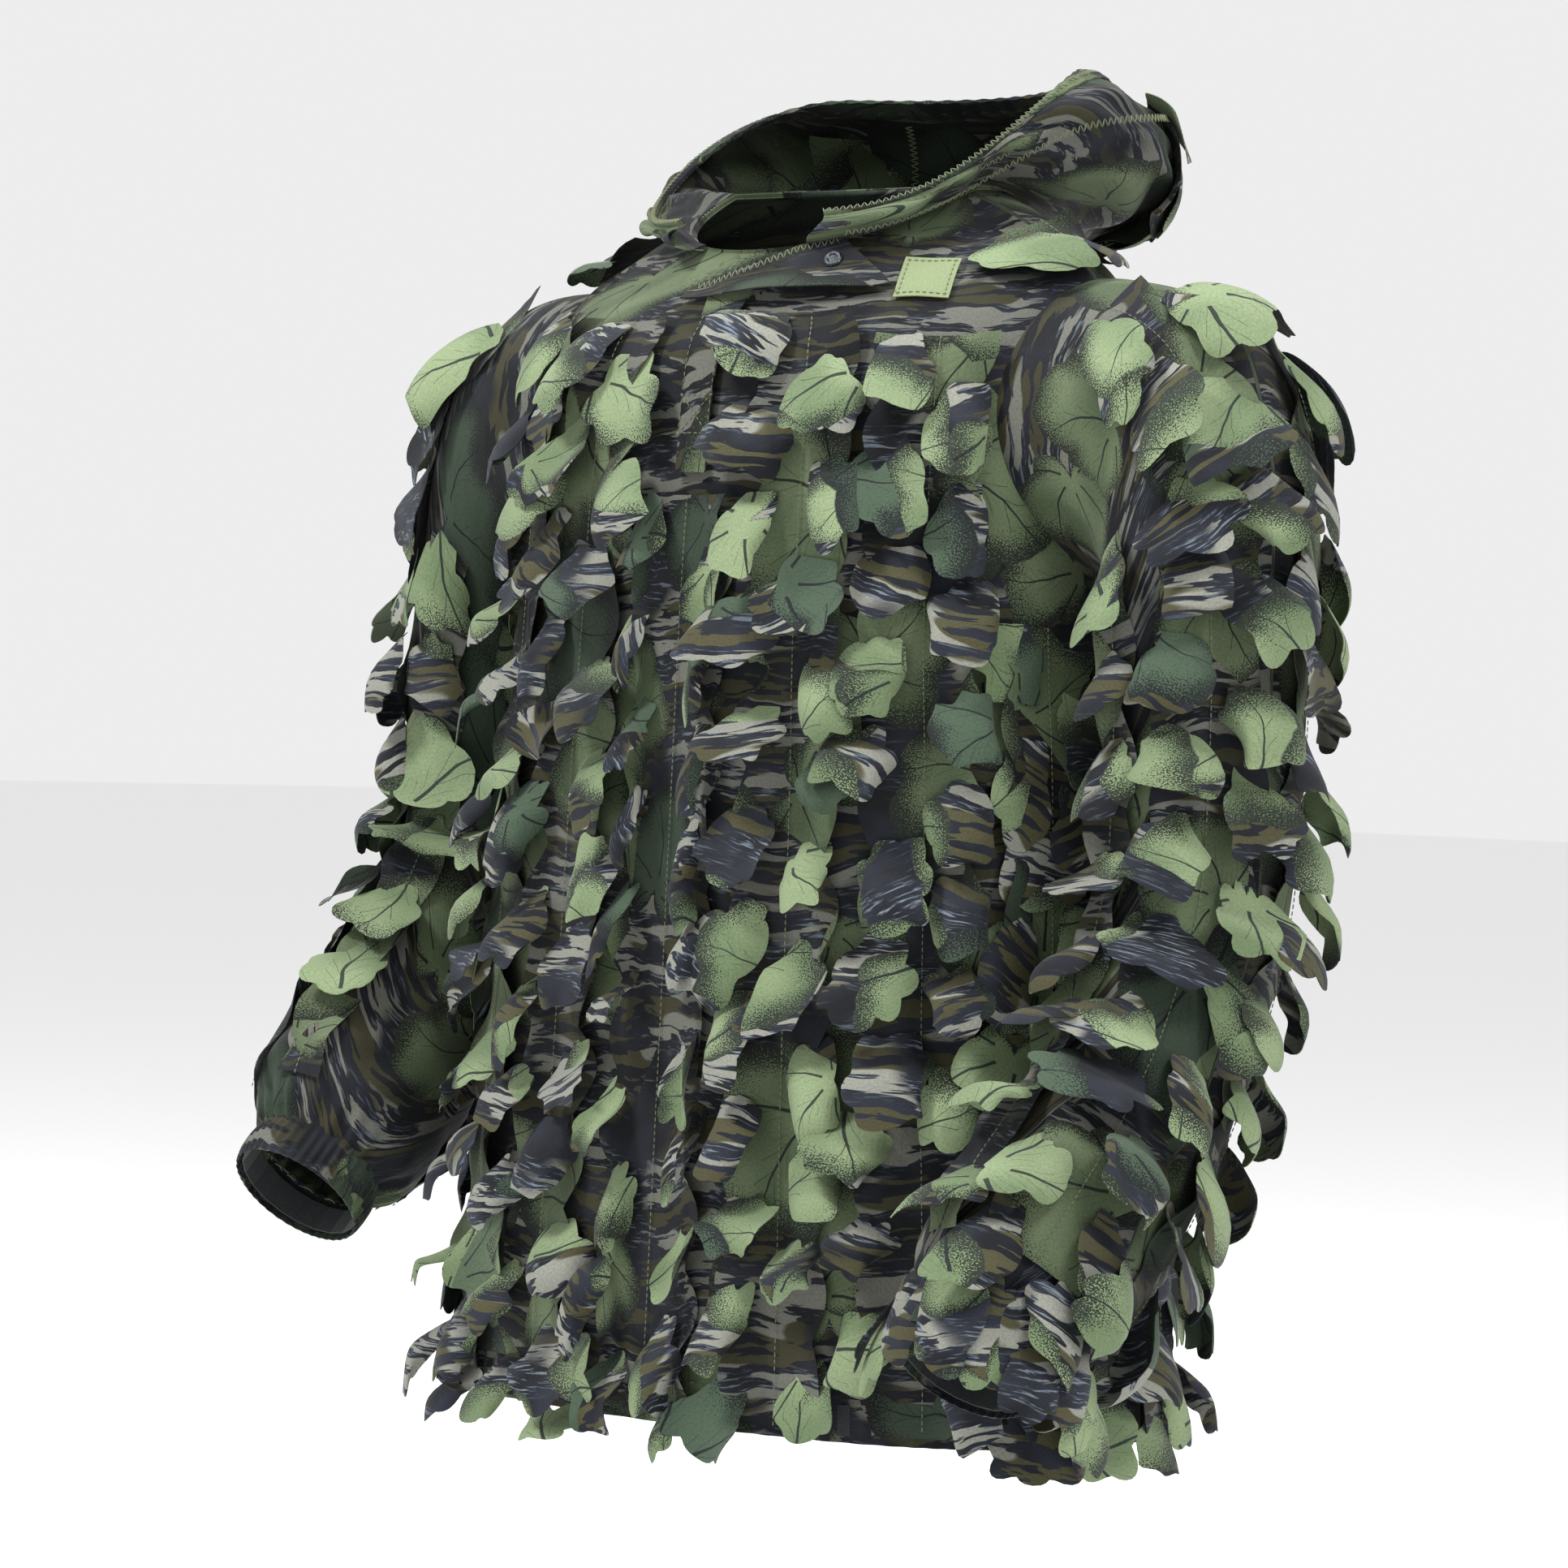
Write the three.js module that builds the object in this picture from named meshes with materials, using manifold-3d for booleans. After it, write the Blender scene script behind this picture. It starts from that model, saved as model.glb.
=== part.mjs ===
// A leafy ghillie jacket: a hooded pullover of printed cloth, carried as if by a body inside it.
//
// Frame: millimetres, +Z up, the wearer's left is +X and the wearer's front is -Y. The origin is the
// middle of the neck opening, level with the points where the shoulder seams meet the neck.
//
// The cloth panels are thin shells. The torso is a front and a back panel with a round armhole in each
// side. Each sleeve starts as a short round mouth that turns in its armhole about a line along X. The
// hood lies open on the upper back: its neck band is sewn to the neck, and its crown turns about a line
// along X through the origin. Rows of leaf-cut strips cover the panels like shingles.
import * as THREE from "three";
import { mergeVertices } from "three/addons/utils/BufferGeometryUtils.js";
import Module from "manifold-3d";

// ---- Cloth, seams and strips ----
const CLOTH = 1.2; // thickness of a panel's cloth
const SEAM = 0.5; // gap between two pieces that are sewn edge to edge
const SEAT = 0.45; // gap between a piece and the cloth that it is sewn onto
const TORSO_LEAVES = { pitch: 100, flare: 15, standoff: 6, columns: 2 };
const SIDE_LEAVES = { pitch: 100, flare: 6, standoff: 4, columns: 2 }; // beside the arms
const SHOULDER_LEAVES = { pitch: 52, flare: 12, standoff: 6, columns: 2 };
const SLEEVE_LEAVES = { pitch: 100, flare: 9, standoff: 7, columns: 3 };
const HOOD_LEAVES = { pitch: 48, flare: 9, standoff: 9, columns: 3 };
const LEAF_LOBE = 15; // how far a tier's middle hangs below its corners
const STRIP_CLOTH = 1.4;
const STRIP_GAP = 0.5; // degrees between one strip and the next

// ---- Torso: sections from below the hem to the neck ----
const HEM_Z = -780;
const HEM_BAND_HEIGHT = 27;
const ELASTIC_MARGIN = 4; // from the edge of a band to the elastic inside it
const ELASTIC_THICKNESS = 1.4;
// Each section: height, half width, front depth, back depth, squareness, and how far the neck's front
// drops and its back rises from that height.
const TORSO = [
  [HEM_Z - 50, 252, 158, 144, 2.5, 0, 0],
  [HEM_Z, 252, 157, 143, 2.5, 0, 0],
  [-690, 246, 155, 142, 2.5, 0, 0],
  [-600, 238, 153, 140, 2.5, 0, 0],
  [-520, 232, 151, 138, 2.5, 0, 0],
  [-380, 225, 148, 136, 2.5, 0, 0],
  [-290, 217, 146, 136, 2.5, 0, 0],
  [-200, 214, 142, 134, 2.5, 0, 0],
  [-120, 214, 134, 128, 2.35, 0, 0],
  [-80, 212, 122, 121, 2.15, 14, 1],
  [-52, 200, 112, 110, 1.95, 27, 3],
  [-30, 166, 105, 102, 1.9, 38, 5],
  [-12, 129, 99, 96, 2.0, 45, 8],
  [0, 98, 94, 90, 2.2, 46, 10],
];

// ---- Armholes and sleeves ----
const MOUTH_RADIUS = 95; // the sleeve's mouth turns inside the armhole
const ARMHOLE_CLEARANCE = 1.2;
const ARMHOLE_RADIUS = MOUTH_RADIUS + ARMHOLE_CLEARANCE;
const ARM_Y = 18;
const ARMHOLE_REACH = [156, 300];
const MOUTH_X = 158;
const ARM_Z = -154;
// Sections down the upper sleeve: centre, half vector to the outer side (x, z), half depth, direction.
const UPPER_SLEEVE = [
  [[MOUTH_X, ARM_Y, ARM_Z], [0, MOUTH_RADIUS], MOUTH_RADIUS, [1, 0, 0]],
  [[216, ARM_Y, ARM_Z], [0, MOUTH_RADIUS], MOUTH_RADIUS, [1, 0, 0]],
  [[250, ARM_Y, -160], [15, MOUTH_RADIUS - 2], MOUTH_RADIUS - 2, [0.98, 0, -0.18]],
  [[274, 17, -183], [34, MOUTH_RADIUS - 12], MOUTH_RADIUS - 7, [0.85, 0, -0.5]],
  [[288, 13, -226], [46, 60], 83, [0.55, -0.05, -0.8]],
  [[293, 8, -288], [50, 27], 77, [0.15, -0.05, -0.97]],
  [[295, 4, -367], [51, 7], 73, [0, -0.05, -1]],
];
const CUFF_LENGTH = 27;
const CUFF_RADIUS = 45;
const WRIST_RADIUS = CUFF_RADIUS + 0.2; // the sleeve's end, which meets the cuff
// The wearer's left forearm reaches further forward than the right, which is bent more at the elbow.
const LEFT_FOREARM = [
  [[298, -8, -450], [51, 0], 71, [0, -0.25, -0.97]],
  [[299, -42, -530], [52, 0], 71, [-0.02, -0.55, -0.83]],
  [[300, -90, -595], [56, 0], 72, [-0.05, -0.65, -0.76]],
  [[297, -140, -648], [60, 0], 72, [-0.07, -0.68, -0.73]],
  [[292, -168, -678], [56, 0], 64, [-0.07, -0.68, -0.73]],
  [[289, -186, -697], [WRIST_RADIUS, 0], WRIST_RADIUS, [-0.07, -0.68, -0.73]],
];
const RIGHT_FOREARM = [
  [[300, 2, -438], [51, 0], 71, [0, -0.33, -0.94]],
  [[303, -30, -506], [52, 0], 71, [-0.02, -0.6, -0.8]],
  [[304, -72, -556], [56, 0], 72, [-0.04, -0.66, -0.75]],
  [[302, -115, -600], [60, 0], 72, [-0.05, -0.69, -0.72]],
  [[299, -140, -625], [56, 0], 64, [-0.05, -0.69, -0.72]],
  [[297, -156, -642], [WRIST_RADIUS, 0], WRIST_RADIUS, [-0.05, -0.69, -0.72]],
];

// ---- Hood, lying open on the upper back ----
const HOOD_HINGE_RADIUS = 115; // the crown turns outside this radius, the neck band stays inside it
const HOOD_GAP = 0.4;
const HOOD_LIFT = 1.2; // from the torso's neck edge up to the hood's
const HOOD_FROM = -66; // the hood runs from here, left of the front, round the back
const HOOD_TO = 246;
const HOOD_SEAMS = [62, 118]; // where the middle panel meets the side panels
const RIM_HALF_WIDTH = 148;
const RIM_CENTRE_Y = 22;
const RIM_FRONT = 126;
const RIM_BACK = 132;
const RIM_LOW = -26;
const RIM_RISE = 96;
const BINDING = 3; // thickness of the bound edge

// ---- Placket, collar tab, snap, label and loop ----
const PLACKET_HALF_WIDTH = 16;
const PLACKET_LOW = -188;
const TAB_STANDOFF = 7; // from the torso to the underside of the tab
const TAB_CLOTH = 1.6;
const TAB_FROM = -93; // the tab runs from the middle of the front to the wearer's left
const TAB_TO = -57;
const TAB_TOP = 0.5; // section numbers down from the neck
const TAB_BOTTOM = 2.5;
const SNAP_PHI = -61.5;
const SNAP_DOWN = 1.55;
const SNAP_RADIUS = 6.2;
const STUD_RADIUS = 2.6;
const SOCKET_BORE = 3.2;
const SHANK_RADIUS = 1.5;
const SHANK_HOLE = 2.0;
const LABEL = { phi: -45, down: 2.6, width: 40, height: 34, thickness: 1.2 };
const LOOP = { halfLength: 32, bow: 12, width: 8, thickness: 1.2 };

const rad = THREE.MathUtils.degToRad;
const lerp = THREE.MathUtils.lerp;
const smoothstep = THREE.MathUtils.smoothstep;
const vec = (x, y, z) => new THREE.Vector3(x, y, z);

// ---- Solids ----

/** A closed solid between two grids of points, over(i, j) outside and under(i, j) inside. */
function sheetSolid(rows, cols, over, under, wrap = false) {
  const across = wrap ? cols : cols + 1;
  const points = [];
  for (const face of [over, under]) {
    for (let i = 0; i <= rows; i++) {
      for (let j = 0; j < across; j++) points.push(face(i, j));
    }
  }
  const at = (layer, i, j) => (layer * (rows + 1) + i) * across + (j % across);
  const index = [];
  const quad = (a, b, c, d) => index.push(a, b, c, a, c, d);
  for (let i = 0; i < rows; i++) {
    for (let j = 0; j < cols; j++) {
      quad(at(0, i, j), at(0, i, j + 1), at(0, i + 1, j + 1), at(0, i + 1, j));
      quad(at(1, i, j), at(1, i + 1, j), at(1, i + 1, j + 1), at(1, i, j + 1));
    }
  }
  for (let j = 0; j < cols; j++) {
    quad(at(0, 0, j), at(1, 0, j), at(1, 0, j + 1), at(0, 0, j + 1));
    quad(at(0, rows, j), at(0, rows, j + 1), at(1, rows, j + 1), at(1, rows, j));
  }
  if (!wrap) {
    for (let i = 0; i < rows; i++) {
      quad(at(0, i, 0), at(0, i + 1, 0), at(1, i + 1, 0), at(1, i, 0));
      quad(at(0, i, cols), at(1, i, cols), at(1, i + 1, cols), at(0, i + 1, cols));
    }
  }
  const geometry = new THREE.BufferGeometry().setFromPoints(points);
  geometry.setIndex(index);
  return facingOut(geometry);
}

/** The geometry with its faces turned to point out. */
function facingOut(geometry) {
  const p = geometry.getAttribute("position");
  const index = [...geometry.index.array];
  const corner = (k) => new THREE.Vector3().fromBufferAttribute(p, index[k]);
  let volume = 0;
  for (let k = 0; k < index.length; k += 3) {
    volume += corner(k).dot(corner(k + 1).cross(corner(k + 2)));
  }
  if (volume < 0) {
    for (let k = 0; k < index.length; k += 3) {
      [index[k + 1], index[k + 2]] = [index[k + 2], index[k + 1]];
    }
  }
  geometry.setIndex(index);
  return geometry;
}

const wasm = await Module();
wasm.setup();

function toSolid(geometry) {
  const joined = merged(geometry);
  return new wasm.Manifold(
    new wasm.Mesh({
      numProp: 3,
      vertProperties: new Float32Array(joined.getAttribute("position").array),
      triVerts: new Uint32Array(joined.index.array),
    }),
  );
}

function fromSolid(solid) {
  const mesh = solid.getMesh();
  const geometry = new THREE.BufferGeometry();
  geometry.setAttribute("position", new THREE.BufferAttribute(mesh.vertProperties, 3));
  geometry.setIndex(new THREE.BufferAttribute(mesh.triVerts, 1));
  return geometry;
}

/** The geometry with the points that its faces share joined. */
function merged(geometry) {
  const bare = new THREE.BufferGeometry();
  bare.setAttribute("position", geometry.getAttribute("position"));
  bare.setIndex(geometry.index);
  return mergeVertices(bare, 1e-4);
}

/** A cylinder along X through (y, z), from x = from to x = to. */
function barAlongX(radius, y, z, from, to, sides = 64) {
  const geometry = new THREE.CylinderGeometry(radius, radius, to - from, sides);
  geometry.rotateZ(Math.PI / 2);
  geometry.translate((from + to) / 2, y, z);
  return toSolid(geometry);
}

/** A solid of revolution about the line from a point along a direction; the profile is [radius, height]. */
function turned(profile, place, direction, sides = 24) {
  const outline = profile.map(([r, h]) => new THREE.Vector2(r, h));
  const geometry = new THREE.LatheGeometry(outline, sides);
  const turn = new THREE.Quaternion().setFromUnitVectors(vec(0, 1, 0), direction);
  geometry.applyQuaternion(turn);
  geometry.translate(place.x, place.y, place.z);
  return facingOut(merged(geometry));
}

// ---- Curves through tables, and surfaces ----

/** A value from a table of numbers or nested lists, at a place between its rows, on a smooth curve. */
function along(table, t) {
  const last = table.length - 1;
  const i = Math.min(Math.max(Math.floor(t), 0), last - 1);
  const f = t - i;
  const row = (k) => table[Math.min(Math.max(k, 0), last)];
  const blend = (a, b, c, d) => {
    if (Array.isArray(b)) return b.map((_, k) => blend(a[k], b[k], c[k], d[k]));
    return (
      b +
      0.5 * f * (c - a + f * (2 * a - 5 * b + 4 * c - d + f * (3 * (b - c) + d - a)))
    );
  };
  return blend(row(i - 1), row(i), row(i + 1), row(i + 2));
}

const rounded = (t, n) => Math.sign(t) * Math.abs(t) ** (2 / n);

/** The torso's outer surface: phi in degrees, 0 at the wearer's left and 90 at the back; section number. */
function torso(phi, section) {
  const [z, width, front, back, n, drop, rise] = along(TORSO, section);
  const c = rounded(Math.cos(rad(phi)), n);
  const s = rounded(Math.sin(rad(phi)), n);
  const atFront = s < 0;
  return vec(width * c, (atFront ? front : back) * s, z + (atFront ? drop : rise) * s);
}

const NECK = TORSO.length - 1;

/** The torso's section number at a height below the neck's slope. */
function sectionAt(z) {
  let [low, high] = [0, NECK];
  for (let k = 0; k < 40; k++) {
    const middle = (low + high) / 2;
    if (along(TORSO, middle)[0] < z) low = middle;
    else high = middle;
  }
  return (low + high) / 2;
}

/** A sleeve's outer surface: psi in degrees, 0 at the outer side and 90 at the back; section number. */
function sleeve(side, forearm) {
  const table = [...UPPER_SLEEVE, ...forearm];
  return (psi, section) => {
    const isMouth = section < 1;
    const [c, v, depth, t] = isMouth
      ? table[0].map((value, k) =>
          k === 0 ? value.map((x, m) => lerp(x, table[1][0][m], section)) : value,
        )
      : along(table, section);
    const outward = vec(v[0], 0, v[1]);
    const back = outward.clone().cross(vec(...t)).normalize().multiplyScalar(depth);
    const p = vec(...c)
      .addScaledVector(outward, Math.cos(rad(psi)))
      .addScaledVector(back, Math.sin(rad(psi)));
    p.x *= side;
    return p;
  };
}

/** The hood's outer surface: phi as on the torso, t from 0 at the neck seam to 1 at the face edge. */
function hood(phi, t) {
  const c = Math.cos(rad(phi));
  const s = Math.sin(rad(phi));
  const neck = torso(phi, NECK).add(vec(0, 0, HOOD_LIFT));
  const rim = vec(
    RIM_HALF_WIDTH * c,
    RIM_CENTRE_Y + (s < 0 ? RIM_FRONT : RIM_BACK) * s,
    RIM_LOW + RIM_RISE * smoothstep(s, -0.9, 0.75),
  );
  const toBack = smoothstep(s, -0.4, 0.8);
  const dip = smoothstep(s, 0.02, 0.85);
  const out = vec(c, s, 0);
  const first = neck.clone().addScaledVector(out, lerp(24, 88, toBack));
  first.z -= lerp(2, 84, dip);
  const second = rim.clone().addScaledVector(out, lerp(14, 118, toBack));
  second.z -= lerp(10, 44, dip);
  const u = 1 - t;
  return vec(0, 0, 0)
    .addScaledVector(neck, u * u * u)
    .addScaledVector(first, 3 * u * u * t)
    .addScaledVector(second, 3 * u * t * t)
    .addScaledVector(rim, t * t * t);
}

/** A surface with its outward normal: at(u, v, offset) is a point that far off the surface. */
function surface(f, isOut) {
  const frame = (u, v) => {
    const p = f(u, v);
    const du = f(u + 0.4, v).sub(f(u - 0.4, v));
    const dv = f(u, v + 0.01).sub(f(u, v - 0.01));
    const n = du.clone().cross(dv).normalize();
    if (!isOut(p, n)) n.negate();
    return { p, n, perDegree: du.length() / 0.8, dv: dv.normalize() };
  };
  const at = (u, v, offset) => {
    const { p, n } = frame(u, v);
    return p.addScaledVector(n, offset);
  };
  return { frame, at };
}

const awayFromAxis = (p, n) => n.x * p.x + n.y * p.y > 0 || (n.z > 0.6 && p.z > -100);
const torsoSkin = surface(torso, awayFromAxis);

/** A panel of cloth over part of a surface, its outer face that far off it. */
function panel(skin, [u0, u1, nu], [v0, v1, nv], { cloth = CLOTH, offset = 0, wrap = false } = {}) {
  const place = (gap) => (i, j) => skin.at(lerp(u0, u1, j / nu), lerp(v0, v1, i / nv), gap);
  return sheetSolid(nv, nu, place(offset), place(offset - cloth), wrap);
}

/** Angles that split an arc of a surface into equal lengths, measured at one section. */
function equalArcs(skin, section, from, to, count) {
  const samples = 240;
  const lengths = [0];
  for (let k = 1; k <= samples; k++) {
    const before = skin.at(lerp(from, to, (k - 1) / samples), section, 0);
    lengths.push(lengths[k - 1] + before.distanceTo(skin.at(lerp(from, to, k / samples), section, 0)));
  }
  return Array.from({ length: count + 1 }, (_, m) => {
    const k = lengths.findIndex((length) => length >= (lengths[samples] * m) / count - 1e-9);
    return lerp(from, to, k / samples);
  });
}

/**
 * A strip of leaf tiers down a surface, between the angles u0 and u1, from section v0 to section v1.
 * A tier flares outward to its lower edge. Tiers in the first bentTiers have a row in their middle.
 * The strip's top edge, where it is sewn on, is topGap off the surface.
 */
function leafStrip(skin, [u0, u1], [v0, v1], leaves, bentTiers, topGap) {
  const middle = (u0 + u1) / 2;
  const steps = 120;
  const places = [{ s: 0, v: v0 }];
  for (let k = 1; k <= steps; k++) {
    const v = lerp(v0, v1, k / steps);
    const step = skin.at(middle, v, 0).distanceTo(skin.at(middle, places[k - 1].v, 0));
    places.push({ s: places[k - 1].s + step, v });
  }
  const length = places[steps].s;
  const sectionAtLength = (s) => {
    const k = places.findIndex((place) => place.s >= s);
    if (k < 1) return k === 0 ? v0 : v1;
    const [a, b] = [places[k - 1], places[k]];
    return lerp(a.v, b.v, (s - a.s) / (b.s - a.s));
  };
  const tiers = Math.max(1, Math.round(length / leaves.pitch));
  const pitch = (length - LEAF_LOBE) / tiers;
  const rows = [];
  for (let tier = 0; tier < tiers; tier++) {
    rows.push({ s: tier * pitch + (tier && 1), rise: 0, lobe: tier === 0 ? 0 : LEAF_LOBE });
    if (tier < bentTiers) rows.push({ s: (tier + 0.5) * pitch, rise: 0.5, lobe: LEAF_LOBE / 2 });
    rows.push({ s: (tier + 1) * pitch, rise: 1, lobe: LEAF_LOBE });
  }
  const place = (isOver) => (i, j) => {
    const { s, rise, lobe } = rows[i];
    const isLobe = j > 0 && j < leaves.columns;
    // Under a tier's step the cloth keeps its thickness, so its inner face lies a little higher up.
    const lag = isOver || i === 0 ? 0 : 1.3;
    const v = sectionAtLength(s - lag + (isLobe ? lobe : 0));
    const u = lerp(u0 + STRIP_GAP / 2, u1 - STRIP_GAP / 2, j / leaves.columns);
    const gap = i === 0 ? topGap : leaves.standoff + rise * leaves.flare;
    return skin.at(u, v, gap + (isOver ? STRIP_CLOTH : 0));
  };
  return sheetSolid(rows.length - 1, leaves.columns, place(true), place(false));
}

// ---- Materials ----
const cloth = (color) => new THREE.MeshStandardMaterial({ color, roughness: 0.9, metalness: 0 });
const printedCloth = cloth(0x4a5243);
const leafCloth = cloth(0x6f8550);
const trimCloth = cloth(0x7c8a57);
const elasticCloth = cloth(0x26282a);
const labelCloth = cloth(0x9aad74);
const snapMetal = new THREE.MeshStandardMaterial({ color: 0x2b2f31, roughness: 0.35, metalness: 0.8 });

const jacket = new THREE.Group();

function add(name, geometry, material) {
  const mesh = new THREE.Mesh(geometry, material);
  mesh.name = name;
  jacket.add(mesh);
  return mesh;
}

/** The geometry that make(x) gives, with x set so that it stands SEAT off the named meshes. */
function seated(make, names, near, far) {
  const around = names.map((name) => toSolid(jacket.getObjectByName(name).geometry));
  for (let k = 0; k < 9; k++) {
    const middle = (near + far) / 2;
    const solid = toSolid(make(middle));
    const gap = Math.min(...around.map((other) => solid.minGap(other, 12)));
    if (gap < SEAT) near = middle;
    else far = middle;
  }
  return make(far);
}

// ---- Torso panels, hem and neck fittings ----

const armholes = [-1, 1].map((side) => {
  const reach = ARMHOLE_REACH.map((x) => x * side).sort((a, b) => a - b);
  return barAlongX(ARMHOLE_RADIUS, ARM_Y, ARM_Z, ...reach, 40);
});

const snapFrame = torsoSkin.frame(SNAP_PHI, NECK - SNAP_DOWN);

/** A round bar about the snap's axis, between two distances off the torso's surface. */
function barAtSnap(radius, from, to) {
  return toSolid(
    turned(
      [
        [0, from],
        [radius, from],
        [radius, to],
        [0, to],
      ],
      snapFrame.p,
      snapFrame.n,
      16,
    ),
  );
}

function makeTorso() {
  const bottom = sectionAt(HEM_Z + HEM_BAND_HEIGHT + SEAM);
  const split = 0.16; // degrees between the panels at each side seam
  for (const [name, from, to] of [
    ["torso_front", -180 + split, -split],
    ["torso_back", split, 180 - split],
  ]) {
    const whole = toSolid(panel(torsoSkin, [from, to, 16], [bottom, NECK, 13]));
    let cut = whole.subtract(armholes[0]).subtract(armholes[1]);
    if (name === "torso_front") cut = cut.subtract(barAtSnap(SHANK_HOLE, -CLOTH - 3, 3));
    add(name, fromSolid(cut), printedCloth);
  }
  const top = sectionAt(HEM_Z + HEM_BAND_HEIGHT);
  const band = [0, 360, 36];
  const hemFold = { cloth: CLOTH, wrap: true };
  add("hem_band", panel(torsoSkin, band, [sectionAt(HEM_Z), top, 1], hemFold), printedCloth);
  const elastic = { cloth: ELASTIC_THICKNESS, offset: -CLOTH - SEAM, wrap: true };
  const elasticRange = [
    sectionAt(HEM_Z + ELASTIC_MARGIN),
    sectionAt(HEM_Z + HEM_BAND_HEIGHT - ELASTIC_MARGIN),
    1,
  ];
  add("hem_elastic", panel(torsoSkin, band, elasticRange, elastic), elasticCloth);
}

function makePlacket() {
  const place = (gap) => (i, j) => {
    const v = lerp(NECK - 2.6, sectionAt(PLACKET_LOW), i / 5);
    const { perDegree } = torsoSkin.frame(-90, v);
    return torsoSkin.at(-90 + ((j - 1) * PLACKET_HALF_WIDTH) / perDegree, v, gap);
  };
  const make = (gap) => sheetSolid(5, 2, place(gap + 1.5), place(gap));
  add("front_placket", seated(make, ["torso_front"], -1, 3), printedCloth);
}

function makeTab() {
  const tab = panel(
    torsoSkin,
    [TAB_FROM, TAB_TO, 10],
    [NECK - TAB_TOP, NECK - TAB_BOTTOM, 3],
    { cloth: TAB_CLOTH, offset: TAB_STANDOFF + TAB_CLOTH },
  );
  const over = TAB_STANDOFF + TAB_CLOTH;
  const hole = barAtSnap(SHANK_HOLE, TAB_STANDOFF - 3, over + 3);
  add("collar_tab", fromSolid(toSolid(tab).subtract(hole)), printedCloth);
  makeSnap(over);
}

/** The four metal pieces of the snap, on the axis through the tab and the torso front. */
function makeSnap(over) {
  const turn = (name, profile) =>
    add(name, turned(profile, snapFrame.p, snapFrame.n), snapMetal);
  const tabUnder = TAB_STANDOFF;
  const socketTop = tabUnder - 1.1;
  const capUnder = over + 0.4;
  turn("snap_cap", [
    [0, socketTop + 0.3],
    [SHANK_RADIUS, socketTop + 0.3],
    [SHANK_RADIUS, capUnder],
    [SNAP_RADIUS, capUnder],
    [SNAP_RADIUS, capUnder + 0.7],
    [SNAP_RADIUS - 1.0, capUnder + 1.4],
    [SNAP_RADIUS - 2.6, capUnder + 1.4],
    [SNAP_RADIUS - 3.4, capUnder + 0.6],
    [0, capUnder + 0.6],
  ]);
  const socketLow = 3.0;
  turn("snap_socket", [
    [SOCKET_BORE, socketLow],
    [SNAP_RADIUS - 0.6, socketLow],
    [SNAP_RADIUS - 0.6, socketTop],
    [0, socketTop],
    [0, socketTop - 0.8],
    [SOCKET_BORE, socketTop - 0.8],
    [SOCKET_BORE, socketLow],
  ]);
  turn("snap_stud", [
    [0, 0.4],
    [SNAP_RADIUS - 0.8, 0.4],
    [SNAP_RADIUS - 0.8, 1.4],
    [STUD_RADIUS - 0.5, 1.6],
    [STUD_RADIUS, 3.9],
    [STUD_RADIUS - 0.7, 4.6],
    [0, 4.6],
  ]);
  turn("snap_post", [
    [0, 0.1],
    [SHANK_RADIUS, 0.1],
    [SHANK_RADIUS, -CLOTH - 0.9],
    [SNAP_RADIUS - 1.2, -CLOTH - 0.9],
    [SNAP_RADIUS - 1.2, -CLOTH - 1.9],
    [0, -CLOTH - 1.9],
  ].reverse());
}

function makeLabel() {
  const { p, n } = torsoSkin.frame(LABEL.phi, NECK - LABEL.down);
  const fall = vec(0, 0, -1).addScaledVector(n, n.z);
  const right = fall.cross(n).normalize();
  const turn = new THREE.Matrix4().makeBasis(right, n.clone().cross(right).normalize(), n);
  const make = (gap) => {
    const plate = new THREE.BoxGeometry(LABEL.width, LABEL.height, LABEL.thickness);
    const centre = p.clone().addScaledVector(n, gap + LABEL.thickness / 2);
    return merged(plate.applyMatrix4(turn).translate(centre.x, centre.y, centre.z));
  };
  add("chest_label", seated(make, ["torso_front"], -2, 8), labelCloth);
}

function makeLoop() {
  const inside = torso(90, NECK).y - CLOTH;
  const make = (gap) => {
    const place = (out) => (i, j) => {
      const x = lerp(-LOOP.halfLength, LOOP.halfLength, i / 8);
      const bow = LOOP.bow * Math.cos((Math.PI / 2) * (x / LOOP.halfLength));
      return vec(x, inside - gap - bow + out, -6 + (j - 0.5) * LOOP.width);
    };
    return sheetSolid(8, 1, place(-LOOP.thickness), place(0));
  };
  add("hanger_loop", seated(make, ["torso_back"], -3, 9), trimCloth);
}

// ---- Sleeves ----

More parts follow.
